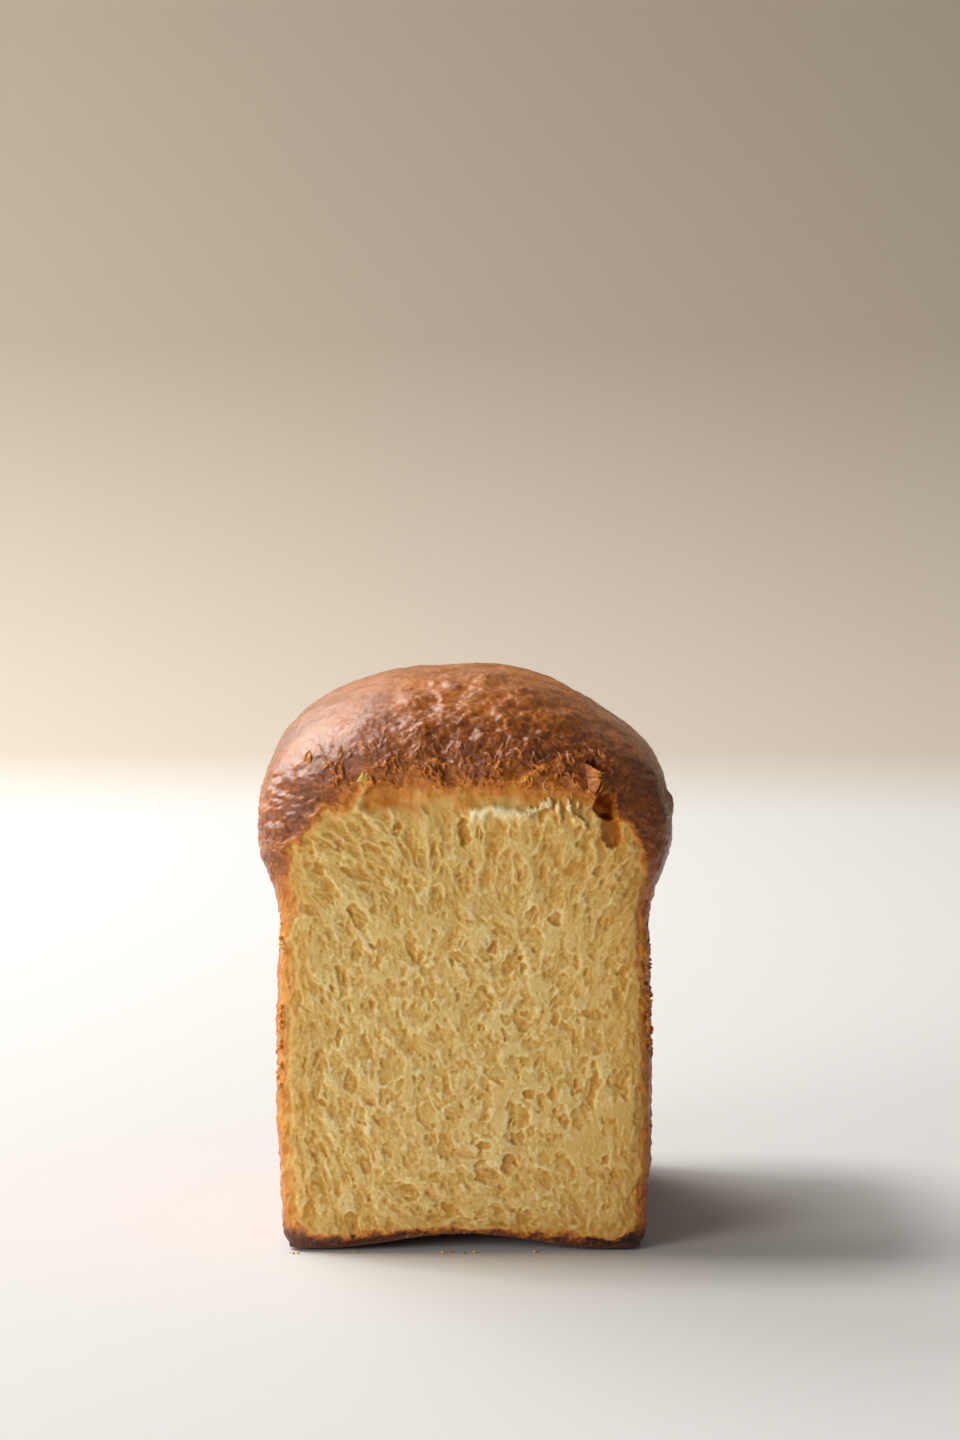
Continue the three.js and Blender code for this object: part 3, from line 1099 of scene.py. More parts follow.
@dataclass(frozen=True)
class BreadFinish:
    """Baked dough, from raw crumb to dark crust, along the mesh's own bake attribute."""

    name: str
    subsurface: float
    roughness: tuple[float, float] = (0.82, 0.27)
    specular: float = 0.52
    bump: float = 0.16
    speck_size: float = 0.6
    patch_size: float = 7.0
    leather_size: float = 0.7
    stir_middle: float = 1.53
    crumb_middle: float = 0.42
    # How strongly the pit paints shade into the crumb's cells and a highlight on its ridges.
    crumb_shade_contrast: float = 0.35
    crust_gain: float = 4.0
    crust_start: float = -0.3
    gold_depth: float = 0.17
    # How much the pit paints the crust browner in its hollows and paler on its grains, as shade and
    # highlight.
    pit_shade_depth: float = 0.28
    veil_share: float = 0.3
    veil: Tone = tone(223, 186, 122)
    # The raw crumb's colours along its pit: palest on ridges and the lip as a painted highlight,
    # golden and darker in the cells as painted shade.
    raw: Stops = (
        (0.0, tone(255, 247, 216)), (0.14, tone(246, 223, 158)), (0.42, tone(228, 190, 109)),
        (0.65, tone(212, 161, 72)), (0.85, tone(194, 134, 44)), (1.0, tone(174, 110, 28)),
    )
    baked: Stops = (
        (0.10, tone(226, 178, 90)), (0.30, tone(222, 148, 46)), (0.46, tone(205, 124, 36)),
        (0.60, tone(175, 99, 32)), (0.74, tone(134, 70, 28)), (0.88, tone(88, 44, 20)),
        (1.0, tone(44, 23, 14)),
    )

    def make(self) -> Material:
        """Builds the material.

        Returns:
            The new material.
        """
        shader = Shader(self.name)
        pit = shader.attribute("pit")
        fine = shader.noise(self.speck_size, 4.0, 0.75)
        patch = shader.noise(self.patch_size, 4.0, 0.65)
        stir = shader.math("SUBTRACT", shader.scale(fine, 2.0, patch), self.stir_middle)
        browned = self.browned(shader, pit, stir)
        crust = shader.scale(browned, self.crust_gain, self.crust_start)
        crust = shader.math("SMOOTH_MAX", crust, 0.0, 0.05)
        crust = shader.math("MINIMUM", crust, 1.0)
        baked = shader.ramp(browned, self.baked)
        colour = shader.blend(crust, self.crumb(shader, pit, stir), baked)
        shader.links.new(colour, shader.surface.inputs["Base Color"])
        dull, glossy = self.roughness
        shine = shader.math("SUBTRACT", shader.scale(crust, glossy - dull, dull), 0.12)
        shader.links.new(shader.scale(fine, 0.24, shine), shader.surface.inputs["Roughness"])
        leather = shader.noise(self.leather_size, 4.0, 0.75)
        shader.bump(shader.math("MULTIPLY", leather, shader.scale(crust, 0.8, 0.2)), self.bump)
        shader.set(Specular_IOR_Level=self.specular, Subsurface_Weight=self.subsurface,
                   Subsurface_Radius=(1.0, 0.55, 0.2), Subsurface_Scale=MM)
        return shader.material

    def browned(self, shader: Shader, pit: Socket, stir: Socket) -> Socket:
        """How browned each place is, with specks, golden patches, painted shade in the hollows and
        painted highlights on the grains.

        Args:
            shader: the material to add to.
            pit: how hollow each place is.
            stir: the specks and patches, from about -1 to 1.

        Returns:
            The browning: 0 is raw, 1 the darkest crust.
        """
        bake = shader.attribute("bake")
        calm = shader.scale(shader.step(bake, 0.68, 0.82), -0.16, 0.24)
        weight = shader.math("MULTIPLY_ADD", shader.step(bake, 0.25, 0.65), calm, 0.04)
        browned = shader.math("MULTIPLY_ADD", stir, weight, bake)
        gold = shader.math("MULTIPLY", shader.step(shader.noise(0.9, 3.0, 0.65), 0.51, 0.64),
                           shader.step(shader.noise(9.0, 2.0, 0.5), 0.4, 0.62))
        gold = shader.math("MULTIPLY", gold, shader.step(bake, 0.45, 0.7))
        browned = shader.scale(gold, -self.gold_depth, browned)
        # Painted shade: browner in the hollows; painted highlight: paler on the grains.
        hollow = shader.math("MULTIPLY", pit, shader.step(bake, 0.2, 0.6))
        return shader.scale(hollow, self.pit_shade_depth, browned)

    def crumb(self, shader: Shader, pit: Socket, stir: Socket) -> Socket:
        """The colour of the raw crumb: paler on its ridges as a painted highlight, golden in its
        cells as painted shade.

        Args:
            shader: the material to add to.
            pit: how hollow each place is.
            stir: the specks and patches, from about -1 to 1.

        Returns:
            The colour.
        """
        # Painted shade in the cells and a painted highlight on the ridges, from the pit.
        hollow = shader.scale(pit, self.crumb_shade_contrast, shader.math("MULTIPLY", stir, 0.19))
        crumb = shader.ramp(shader.math("ADD", hollow, self.crumb_middle), self.raw)
        patches = shader.step(shader.noise(3.4, 3.0, 0.6), 0.46, 0.62)
        return shader.blend(shader.math("MULTIPLY", patches, self.veil_share), crumb, self.veil)


class Finish(Enum):
    """The finishes that the loaf has."""

    TORN = BreadFinish("torn_bread", 0.35)
    CRUST = BreadFinish("baked_crust", 0.05)


# ---- Pieces -----------------------------------------------------------------------------


def coordinates(mesh: Mesh) -> Array:
    """A mesh's points as an array of three columns.

    Args:
        mesh: the mesh.

    Returns:
        A row for each point.
    """
    flat = np.empty(len(mesh.vertices) * 3)
    mesh.vertices.foreach_get("co", flat)
    return flat.reshape(-1, 3)


def add_values(mesh: Mesh, name: str, values: Array) -> None:
    """Stores one number for each point of a mesh."""
    attribute = mesh.attributes.new(name, "FLOAT", "POINT")
    attribute.data.foreach_set("value", values.astype(np.float32))


def soften(mesh: Mesh) -> None:
    """Shades a mesh's faces as one smooth surface."""
    mesh.polygons.foreach_set("use_smooth", np.ones(len(mesh.polygons), bool))


def mesh_of(name: str, shell: Shell) -> Mesh:
    """A mesh from a bmesh, which is freed.

    Args:
        name: the mesh's name.
        shell: the bmesh.

    Returns:
        The new mesh.
    """
    mesh = bpy.data.meshes.new(name)
    shell.to_mesh(mesh)
    shell.free()
    return mesh


def show(mesh: Mesh, material: Material) -> None:
    """Makes a mesh a piece of the loaf that rides with it and stands for its solid.

    Args:
        mesh: the finished mesh, in metres, in the frame.
        material: its finish.
    """
    mesh.materials.append(material)
    piece = bpy.data.objects.new(mesh.name, mesh)
    bpy.context.scene.collection.objects.link(piece)
    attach(piece, "root")
    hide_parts("brioche")
    LOG.info("%s: %d faces", piece.name, len(mesh.polygons))


@dataclass
class Net:
    """A surface as rows and columns of points, with the values that its colours follow."""

    points: Array
    bake: Array
    pit: Array
    rolled: bool = False
    facing: Array | None = None

    def __post_init__(self) -> None:
        """Works out which way the surface faces, before it is cut into parts."""
        if self.facing is not None:
            return
        points = self.points
        if self.rolled:
            points = np.concatenate([points[:, -2:-1], points, points[:, 1:2]], axis=1)
        across = np.gradient(points, axis=1)
        up = np.gradient(points, axis=0)
        facing = np.cross(across, up)
        facing = facing[:, 1:-1] if self.rolled else facing
        self.facing = facing / np.maximum(np.linalg.norm(facing, axis=2), 1e-9)[..., None]

    def cut(self, first: int, last: int) -> Net:
        """The part between two rows, both kept.

        Args:
            first: the lower row.
            last: the upper row.

        Returns:
            The smaller net.
        """
        rows = slice(first, last + 1)
        values = self.bake[rows], self.pit[rows]
        return Net(self.points[rows], *values, self.rolled, self.facing[rows])

    def show_parts(self, names: tuple[str, ...], depth: float, material: Material) -> None:
        """Cuts the net into pieces of about as many rows, which share their edge rows.

        Args:
            names: the pieces' names, from the lowest rows up.
            depth: how far open edges are drawn to the back before they are shut.
            material: their finish.
        """
        ends = np.linspace(0, len(self.points) - 1, len(names) + 1).astype(int)
        for name, first, last in zip(names, ends[:-1], ends[1:]):
            show(self.cut(first, last).mesh(name, depth), material)

    def mesh(self, name: str, depth: float) -> Mesh:
        """Turns the net into a closed mesh in metres.

        Args:
            name: the name of the mesh.
            depth: how far its open edges are drawn to the back before they are shut.

        Returns:
            The mesh, with its colours' values and its own normals.
        """
        rows, columns = self.bake.shape
        shell = bmesh.new()
        shell.loops.layers.uv.new("OFBake")
        bmesh.ops.create_grid(
            shell, x_segments=columns - 1, y_segments=rows - 1, size=1.0, calc_uvs=True)
        mesh = mesh_of(name, shell)
        flat = (coordinates(mesh)[:, :2] + 1) / 2 * [columns - 1, rows - 1]
        column, row = np.rint(flat).astype(int).T
        place = mesh.attributes.new("place", "INT", "POINT")
        place.data.foreach_set("value", row * columns + column)
        mesh.vertices.foreach_set("co", (self.points[row, column] * MM).astype(np.float32).ravel())
        shell = bmesh.new()
        shell.from_mesh(mesh)
        if self.rolled:
            self.roll(shell, np.lexsort((column, row)))
        self.shut(shell, depth)
        shell.to_mesh(mesh)
        shell.free()
        self.dress(mesh)
        return mesh

    def roll(self, shell: Shell, order: Array) -> None:
        """Joins the last column to the first, and each row that is a single point.

        Args:
            shell: the bmesh of the net.
            order: its points, row by row.
        """
        shell.verts.ensure_lookup_table()
        rows, columns = self.bake.shape
        single = np.ptp(self.points, axis=1).max(axis=1) < 1e-6
        joined = {}
        for row in range(rows):
            first = shell.verts[order[row * columns]]
            others = range(1, columns) if single[row] else (columns - 1,)
            for column in others:
                joined[shell.verts[order[row * columns + column]]] = first
        bmesh.ops.weld_verts(shell, targetmap=joined)

    def shut(self, shell: Shell, depth: float) -> None:
        """Draws open edges to the back, and fills what they enclose.

        Args:
            shell: the bmesh of the net.
            depth: how far they are drawn.
        """
        place = shell.verts.layers.int["place"]
        edges = [e for e in shell.edges if e.is_boundary]
        if depth > 0:
            drawn = bmesh.ops.extrude_edge_only(shell, edges=edges)["geom"]
            for element in drawn:
                if isinstance(element, bmesh.types.BMVert):
                    element.co.y += depth * MM
                    element[place] = -1
            edges = [e for e in drawn if isinstance(e, bmesh.types.BMEdge) and e.is_boundary]
        bmesh.ops.holes_fill(shell, edges=edges, sides=0)
        bmesh.ops.recalc_face_normals(shell, faces=shell.faces)

    def dress(self, mesh: Mesh) -> None:
        """Gives each point its values and its normal.

        Args:
            mesh: the mesh of the net.
        """
        place = np.empty(len(mesh.vertices), np.int32)
        mesh.attributes["place"].data.foreach_get("value", place)
        mesh.attributes.remove(mesh.attributes["place"])
        kept = (place >= 0)[:, None]
        add_values(mesh, "bake", self.bake.ravel()[place])
        add_values(mesh, "pit", self.pit.ravel()[place])
        soften(mesh)
        facing = np.where(kept, self.facing.reshape(-1, 3)[place], 0.0)
        mesh.normals_split_custom_set_from_vertices(facing.tolist())


# ---- The baked skin ---------------------------------------------------------------------


@dataclass(frozen=True)
class Skin:
    """The relief and the browning of the crust, at any place of the loaf."""

    cap_from: float = 90.0
    cap_full: float = 106.0
    fan_height: float = 88.0
    fan_reach: float = 40.0
    lump_rise: float = 0.55
    leather_rise: float = 0.12
    uneven_rise: float = 1.15
    grain_rise: float = 0.34
    pitted_rise: float = 0.25
    bubble_rise: float = 0.5
    blister_rise: float = 1.3
    sunken_depth: float = 3.4
    wall_bake: float = 0.6
    dome_bake: float = 0.68
    foot_bake: float = 0.84
    slow: Noise = Noise(31)
    fine: Noise = Noise(32)
    shade: Noise = Noise(33)

    def on_cap(self, z: Array) -> Array:
        """1 on the cap and the dome, 0 on the walls."""
        return smooth(z, self.cap_from, self.cap_full)

    def roughness(self, x: Array, y: Array, z: Array) -> Array:
        """How rough the skin is: 1 where the tear stretched it, less on the shoulders and cap.

        Args:
            x: places across.
            y: how deep they lie.
            z: their heights.

        Returns:
            The roughness of each place.
        """
        front = fall(y, -48.0, -14.0)
        smooth_left = smooth(-x, 6.0, 24.0) * smooth(z, 116.0, 130.0)
        smooth_right = smooth(x, 28.0, 40.0)
        rough = mix(0.35, 1.0, front) * (1.0 - 0.8 * smooth_left) * (1.0 - 0.55 * smooth_right)
        return rough * self.on_cap(z)

    def grain(self, x: Array, y: Array, z: Array) -> Array:
        """The grains of the skin, from about -0.5 to 0.5.

        Args:
            x: places across.
            y: how deep they lie.
            z: their heights.

        Returns:
            The height of the grain at each place.
        """
        bent_x = x + 0.8 * self.slow.at(x / 2.2, y / 2.2, z / 2.2)
        bent_z = z + 0.8 * self.shade.at(x / 2.2, y / 2.2, z / 2.2)
        coarse = self.fine.grains(bent_x / 2.2, y / 2.0, bent_z / 1.5)
        small = self.slow.grains(bent_x / 1.0, y / 1.0, bent_z / 0.85)
        wrinkle = 1.0 - np.abs(self.fine.layers(bent_x / 6.0, y / 4.5, bent_z / 3.0, 3, 0.6))
        return 0.24 * coarse + 0.36 * small + 0.5 * wrinkle - 0.66

    def pit(self, x: Array, y: Array, z: Array) -> Array:
        """How hollow the skin is between its grains, below 0 on a grain: the colours paint shade
        between the grains and a highlight on them.
        """
        return -0.85 * self.grain(x, y, z) * mix(0.4, 1.0, self.roughness(x, y, z))

    def relief(self, x: Array, y: Array, z: Array) -> Array:
        """How far the skin stands out from the smooth form.

        Args:
            x: places across.
            y: how deep they lie.
            z: their heights.

        Returns:
            The rise at each place, in millimetres.
        """
        lumps = self.slow.at(x / 17, y / 17, z / 17) + 0.5 * self.slow.at(x / 7, y / 7, z / 9)
        uneven = self.slow.layers(x / 7.0, y / 8.0, z / 4.4, 3, 0.5)
        leather = self.fine.layers(x / 3.0, y / 3.0, z / 2.1, 3, 0.65)
        pitted = self.fine.layers(x / 1.8, y / 1.8, z / 2.2, 2, 0.65)
        wall = 1.0 - self.on_cap(z)
        rise = self.lump_rise * lumps * smooth(z, 2.0, 14.0)
        rise += self.leather_rise * leather * (1.0 - wall)
        grain = self.grain_rise * self.grain(x, y, z) * mix(0.6, 1.3, smooth(uneven, -0.5, 0.5))
        rise += self.roughness(x, y, z) * (self.uneven_rise * uneven + grain)
        bubbles = self.fine.grains(x / 3.2, y / 3.2, z / 3.6)
        bubbles = bubbles + 0.7 * self.slow.grains(x / 1.4, y / 1.4, z / 1.6) - 0.85
        bubbles = self.pitted_rise * pitted + self.bubble_rise * bubbles
        rise += wall * bubbles * smooth(z, 1.0, 5.0)
        blister = bell(np.hypot((z - 114.2) / 1.5, y + 30.0), 2.4) * (x > 0)
        sunken = bell(np.hypot(x - 39.0, z - 140.0), 17.0) * (1.0 - 0.5 * smooth(y, 5.0, 45.0))
        rise += self.blister_rise * blister - self.sunken_depth * sunken
        return rise + self.crinkles(x, y, z)

    def crinkles(self, x: Array, y: Array, z: Array) -> Array:
        """Short upright folds over the tear, fanned out like the stretched dough.

        Args:
            x: places across.
            y: how deep they lie.
            z: their heights.

        Returns:
            The rise at each place, in millimetres.
        """
        turn = np.arctan2(x, z - self.fan_height) * self.fan_reach
        out = np.hypot(x, z - self.fan_height)
        reach = out + 4.5 * self.slow.at(x / 6, 4.0, z / 9)
        near = smooth(reach, 27.0, 31.0) * fall(reach, 37.0, 48.0) * fall(y, -52.0, -30.0)
        near = near * smooth(z, 92.0, 104.0)
        near = near * smooth(self.shade.layers(x / 7, 2.0, z / 7, 2), -0.5, 0.4)
        folds = self.fine.layers(turn / 2.6, y / 7.0, out / 6.0, 3, 0.6)
        scales = self.fine.layers(turn / 1.5, 5.0 + y / 4.0, out / 2.4, 2, 0.6)
        return near * (0.9 * (0.3 - np.abs(folds)) + 0.25 * scales)

    def bake(self, x: Array, y: Array, z: Array) -> Array:
        """How browned the crust is, with painted shade towards its right at the front and a painted
        sheen on the front of its top.

        Args:
            x: places across.
            y: how deep they lie.
            z: their heights.

        Returns:
            The browning of each place.
        """
        away = smooth(y, -44.0, -16.0)
        # Painted shade: the front of the walls is browner towards the right, away from the window.
        wall = self.wall_bake + 0.09 * smooth(x, -30.0, 30.0) * (1.0 - away) + 0.09 * away
        wall += 0.07 * self.shade.at(x / 22, y / 22, z / 22) + 0.06 * smooth(z, 30.0, 4.0)
        dome = self.dome_bake + 0.07 * self.shade.layers(x / 14, y / 14, z / 14, 2)
        # Painted shade: the front of the dome is browner towards the right; its back is browner
        # too.
        dome += 0.1 * smooth(x, 15.0, 45.0) * (1.0 - away) + 0.1 * smooth(y, -4.0, 30.0)
        # Painted sheen: the front of the dome's top is paler.
        dome -= 0.07 * smooth(z, 132.0, 146.0) * fall(y, 0.0, 30.0)
        browned = mix(wall, dome, smooth(z, 84.0, 104.0))
        browned = np.maximum(browned, self.foot_bake * fall(z, 0.5, 5.0))
        return mix(browned, TEAR.bake(x, z), fall(y, -52.0, -40.0))


SKIN = Skin()


@dataclass(frozen=True)
class Marks:
    """What the tear left on the front: shares of 0 to 1, and the split's depth."""

    band: Array
    lip: Array
    fray: Array
    ridge: Array
    hollow: Array
    hems: Array
    split: Array


@dataclass(frozen=True)
class TornFront:
    """The front of the loaf as one surface: torn crumb, the crust's edge and the brow."""

    names: tuple[str, ...] = ("torn_front_foot", "torn_front_middle", "torn_front_brow")
    columns: int = 385
    rows: int = 520
    low: float = 0.9
    high: float = 139.0
    proud: float = 0.9
    relief: float = 0.36
    set_in: float = 9.0
    reach_walls: float = 0.972
    reach_cap: float = 0.93
    border: float = 2.4
    lip_rise: float = 2.5
    fray_rise: float = 1.9
    ridge_rise: float = 1.2
    hollow_depth: float = 1.6
    band_depth: float = 1.2
    hem_rise: float = 1.2
    edge_rise: float = 0.5

    def reach(self, height: Array) -> Array:
        """Half of the sheet's width at a height."""
        cap = smooth(height, 86.0, 112.0)
        return FORM.half_width(height) * mix(self.reach_walls, self.reach_cap, cap)

    def covered(self, x: Array, height: Array) -> Array:
        """How far inside the sheet's own border a place lies, in millimetres."""
        sides = self.reach(np.clip(height, self.low, self.high)) - np.abs(x)
        return np.minimum(sides, np.minimum(self.high - height, height - self.low))

    def net(self, foam: Foam) -> Net:
        """The whole front as a net of points.

        Args:
            foam: the raster of its cells.

        Returns:
            The net, before it is cut.
        """
        across, up = np.meshgrid(np.linspace(-1, 1, self.columns), np.linspace(0, 1, self.rows))
        height = mix(self.low, self.high, up)
        x = across * self.reach(height)
        z = height + FORM.front_lift(x, height)
        skin_y = FORM.skin_y(x, height)
        outside = TEAR.outside(x, z)
        torn = fall(outside, -0.9, 0.7)
        marks = self.marks(x, z)
        crust = SKIN.relief(x, skin_y, z)
        crust = crust + self.edge_rise * bell(outside - 1.2, 1.2) * smooth(z, 92.0, 104.0)
        crust = crust + self.hem_rise * marks.hems
        dip = mix(0.3, -0.05, smooth(self.covered(x, height), 0.0, self.border))
        relief = mix(crust, self.crumb(foam, x, z, outside, marks), torn) - marks.split - dip
        skin = np.stack([x, skin_y + FORM.axis_shift_y, z], axis=2)
        facing = Net(skin, x, x).facing
        pit = mix(SKIN.pit(x, skin_y, z), self.crumb_pit_and_shade(foam, x, z, outside, marks), torn)
        # The lip, the shreds and the fold's ridge are paler; on the lip and the ridge this is
        # partly a painted highlight.
        pit = pit - 1.5 * marks.lip - 1.2 * marks.fray - 0.6 * marks.ridge
        points = skin + facing * relief[..., None]
        return Net(points, self.bake(x, skin_y, z, marks), np.clip(pit, -1.0, 1.0))

    def marks(self, x: Array, z: Array) -> Marks:
        """Everything that the tear left at places of the front.

        Args:
            x: places across.
            z: their heights.

        Returns:
            The marks, an array for each kind.
        """
        ridge, hollow = self.fold(x, z)
        return Marks(self.band(x, z), self.lip(x, z), self.fray(x, z), ridge, hollow,
                     self.hems(x, z), self.split(x, z))

    def crumb(self, foam: Foam, x: Array, z: Array, outside: Array, marks: Marks) -> Array:
        """How far the torn crumb stands out.

        Args:
            foam: the raster of its cells.
            x: places across.
            z: their heights.
            outside: how far each is past the edge of the torn face.
            marks: what the tear left there.

        Returns:
            The rise over the smooth skin, in millimetres.
        """
        inside = smooth(outside, -3.5, -0.6)
        depth = foam.sample(foam.depth, x, z) * mix(1.0, 0.85, inside) * (1.0 - 0.85 * marks.band)
        crumb = self.proud - self.relief * depth - 0.25 * inside
        crumb += self.ridge_rise * marks.ridge - self.hollow_depth * marks.hollow
        crumb += self.lip_rise * marks.lip + self.fray_rise * marks.fray
        return crumb - (self.band_depth - self.folds(x, z)) * marks.band

    def crumb_pit_and_shade(self, foam: Foam, x: Array, z: Array, outside: Array, marks: Marks) -> Array:
        """How hollow the torn crumb is, as the pit that paints shade into its cells, darker towards
        its edge and with painted shade towards its right, its foot and its top.

        Args:
            foam: the raster of its cells.
            x: places across.
            z: their heights.
            outside: how far each is past the edge of the torn face.
            marks: what the tear left there.

        Returns:
            Below 0 on a pale ridge, up to about 1 in a deep cell.
        """
        pit = foam.sample(foam.pit, x, z)
        pit = pit + 0.35 * smooth(outside, -9.0, -1.0) * (1.0 - TEAR.brow(x, z))
        # Painted shade: darker towards the right, the foot and the top of the torn face.
        pit += 0.2 * smooth(x, 5.0, 42.0)
        pit += 0.15 * fall(z, 6.0, 34.0) + 0.22 * smooth(z, 80.0, 104.0)
        return pit * (1.0 - 0.85 * marks.band)

    def bake(self, x: Array, y: Array, z: Array, marks: Marks) -> Array:
        """How browned the front is: pale on its shreds, with painted highlights on the lip, the
        fold and the hems, and painted shade in the fold's hollow and inside the split.

        Args:
            x: places across.
            y: how deep the smooth skin is there.
            z: their heights.
            marks: what the tear left there.

        Returns:
            The browning, from 0 to 1.
        """
        # Painted shade in the fold's hollow; its ridge paler, partly a painted highlight.
        browned = SKIN.bake(x, y, z) + 0.2 * marks.hollow - 0.3 * marks.ridge
        # The lip and the hems paler, partly as a painted highlight; the shreds pale.
        browned = browned - 0.35 * marks.lip - 0.25 * marks.fray - 0.24 * marks.hems
        # Painted shade: the split's inside darker with its depth and towards its upper right.
        inner = 0.1 + 0.025 * marks.split + 0.05 * (x - 36.0) + 0.05 * np.maximum(z - 113.0, 0.0)
        inner = np.clip(inner, 0.08, 0.76)
        return mix(np.maximum(browned, 0.0), inner, smooth(marks.split, 0.3, 1.0))

    def band(self, x: Array, z: Array) -> Array:
        """The smooth stretched skin under the brow: 1 in its middle."""
        wander = 1.6 * TEAR_NOISE.layers(x / 6.0, 4.0, z / 6.0, 3)
        return smooth(z + wander, 114.0, 117.6) * TEAR.brow(x, z)

    def folds(self, x: Array, z: Array) -> Array:
        """Soft upright folds in the stretched skin under the brow."""
        return 0.7 * TEAR_NOISE.layers(x / 5.0, 31.0, z / 8.0, 3, 0.4)

    def lip(self, x: Array, z: Array) -> Array:
        """The torn ridge under the smooth band: 1 on its crest.

        Args:
            x: places across.
            z: their heights.

        Returns:
            The share at each place.
        """
        wander = 0.5 * TEAR_NOISE.layers(x / 3.0, 22.0, 0.0 * z, 3, 0.6)
        over = z - (112.9 + 2.3 * np.cos((x - 8.6) / 6.5) + wander)
        along = smooth(x, 0.6, 2.6) * fall(x, 15.5, 18.0)
        return along * np.where(over > 0, bell(over, 0.95), bell(over, 2.1))

    def fray(self, x: Array, z: Array) -> Array:
        """The white shreds that stand up right of the lip: 1 on their crests.

        Args:
            x: places across.
            z: their heights.

        Returns:
            The share at each place.
        """
        wander_x = 0.7 * TEAR_NOISE.layers(x / 2.2, 51.0, z / 3.0, 3, 0.6)
        wander_z = 0.9 * TEAR_NOISE.layers(x / 1.8, 57.0, z / 3.0, 3, 0.6)
        crests = [shred.deep * shred.share(x + wander_x, z + wander_z) for shred in SHREDS]
        return np.clip(np.max(crests, axis=0), 0.0, 1.0)

    def hems(self, x: Array, z: Array) -> Array:
        """Torn hems of skin along the lower edge of the brow: 1 on their pale crests, whose
        paleness is partly a painted highlight.

        Args:
            x: places across.
            z: their heights.

        Returns:
            The share at each place.
        """
        lines = TEAR_NOISE.layers(x / 3.4 + 0.1 * z, 61.0, z / 6.0, 3, 0.6)
        crest = np.where(lines > 0, bell(lines, 0.07), bell(lines, 0.26))
        patch = smooth(TEAR_NOISE.layers(x / 5.0, 64.0, z / 4.0, 2), -0.1, 0.35)
        rows = smooth(z, 116.5, 120.5) * fall(z, 126.0, 134.0)
        return rows * patch * crest * fall(np.abs(x), 31.0, 40.0)

    def fold(self, x: Array, z: Array) -> tuple[Array, Array]:
        """The fold of pale skin at the left of the brow, partly a painted highlight, and the hollow
        beside it, painted golden as shade.
        """
        ridge = bell(x + 26.4 - 0.22 * (z - 119.0), 1.3) * bell(z - 119.0, 5.0)
        return ridge, bell(x + 19.0, 5.0) * bell(z - 117.8, 2.6)

    def split(self, x: Array, z: Array) -> Array:
        """How deep the crust is split open at the right shoulder.

        Args:
            x: places across.
            z: their heights.

        Returns:
            The depth at each place.
        """
        wander_x = 1.1 * TEAR_NOISE.layers(x / 3.4, 14.0, z / 3.4, 3)
        wander_z = 1.1 * TEAR_NOISE.layers(x / 3.4, 19.0, z / 3.4, 3)
        return sum(h.deep * h.share(x + wander_x, z + wander_z) for h in SPLITS)

    def build(self, foam: Foam, material: Material) -> None:
        """Makes the pieces of the front."""
        self.net(foam).show_parts(self.names, self.set_in, material)


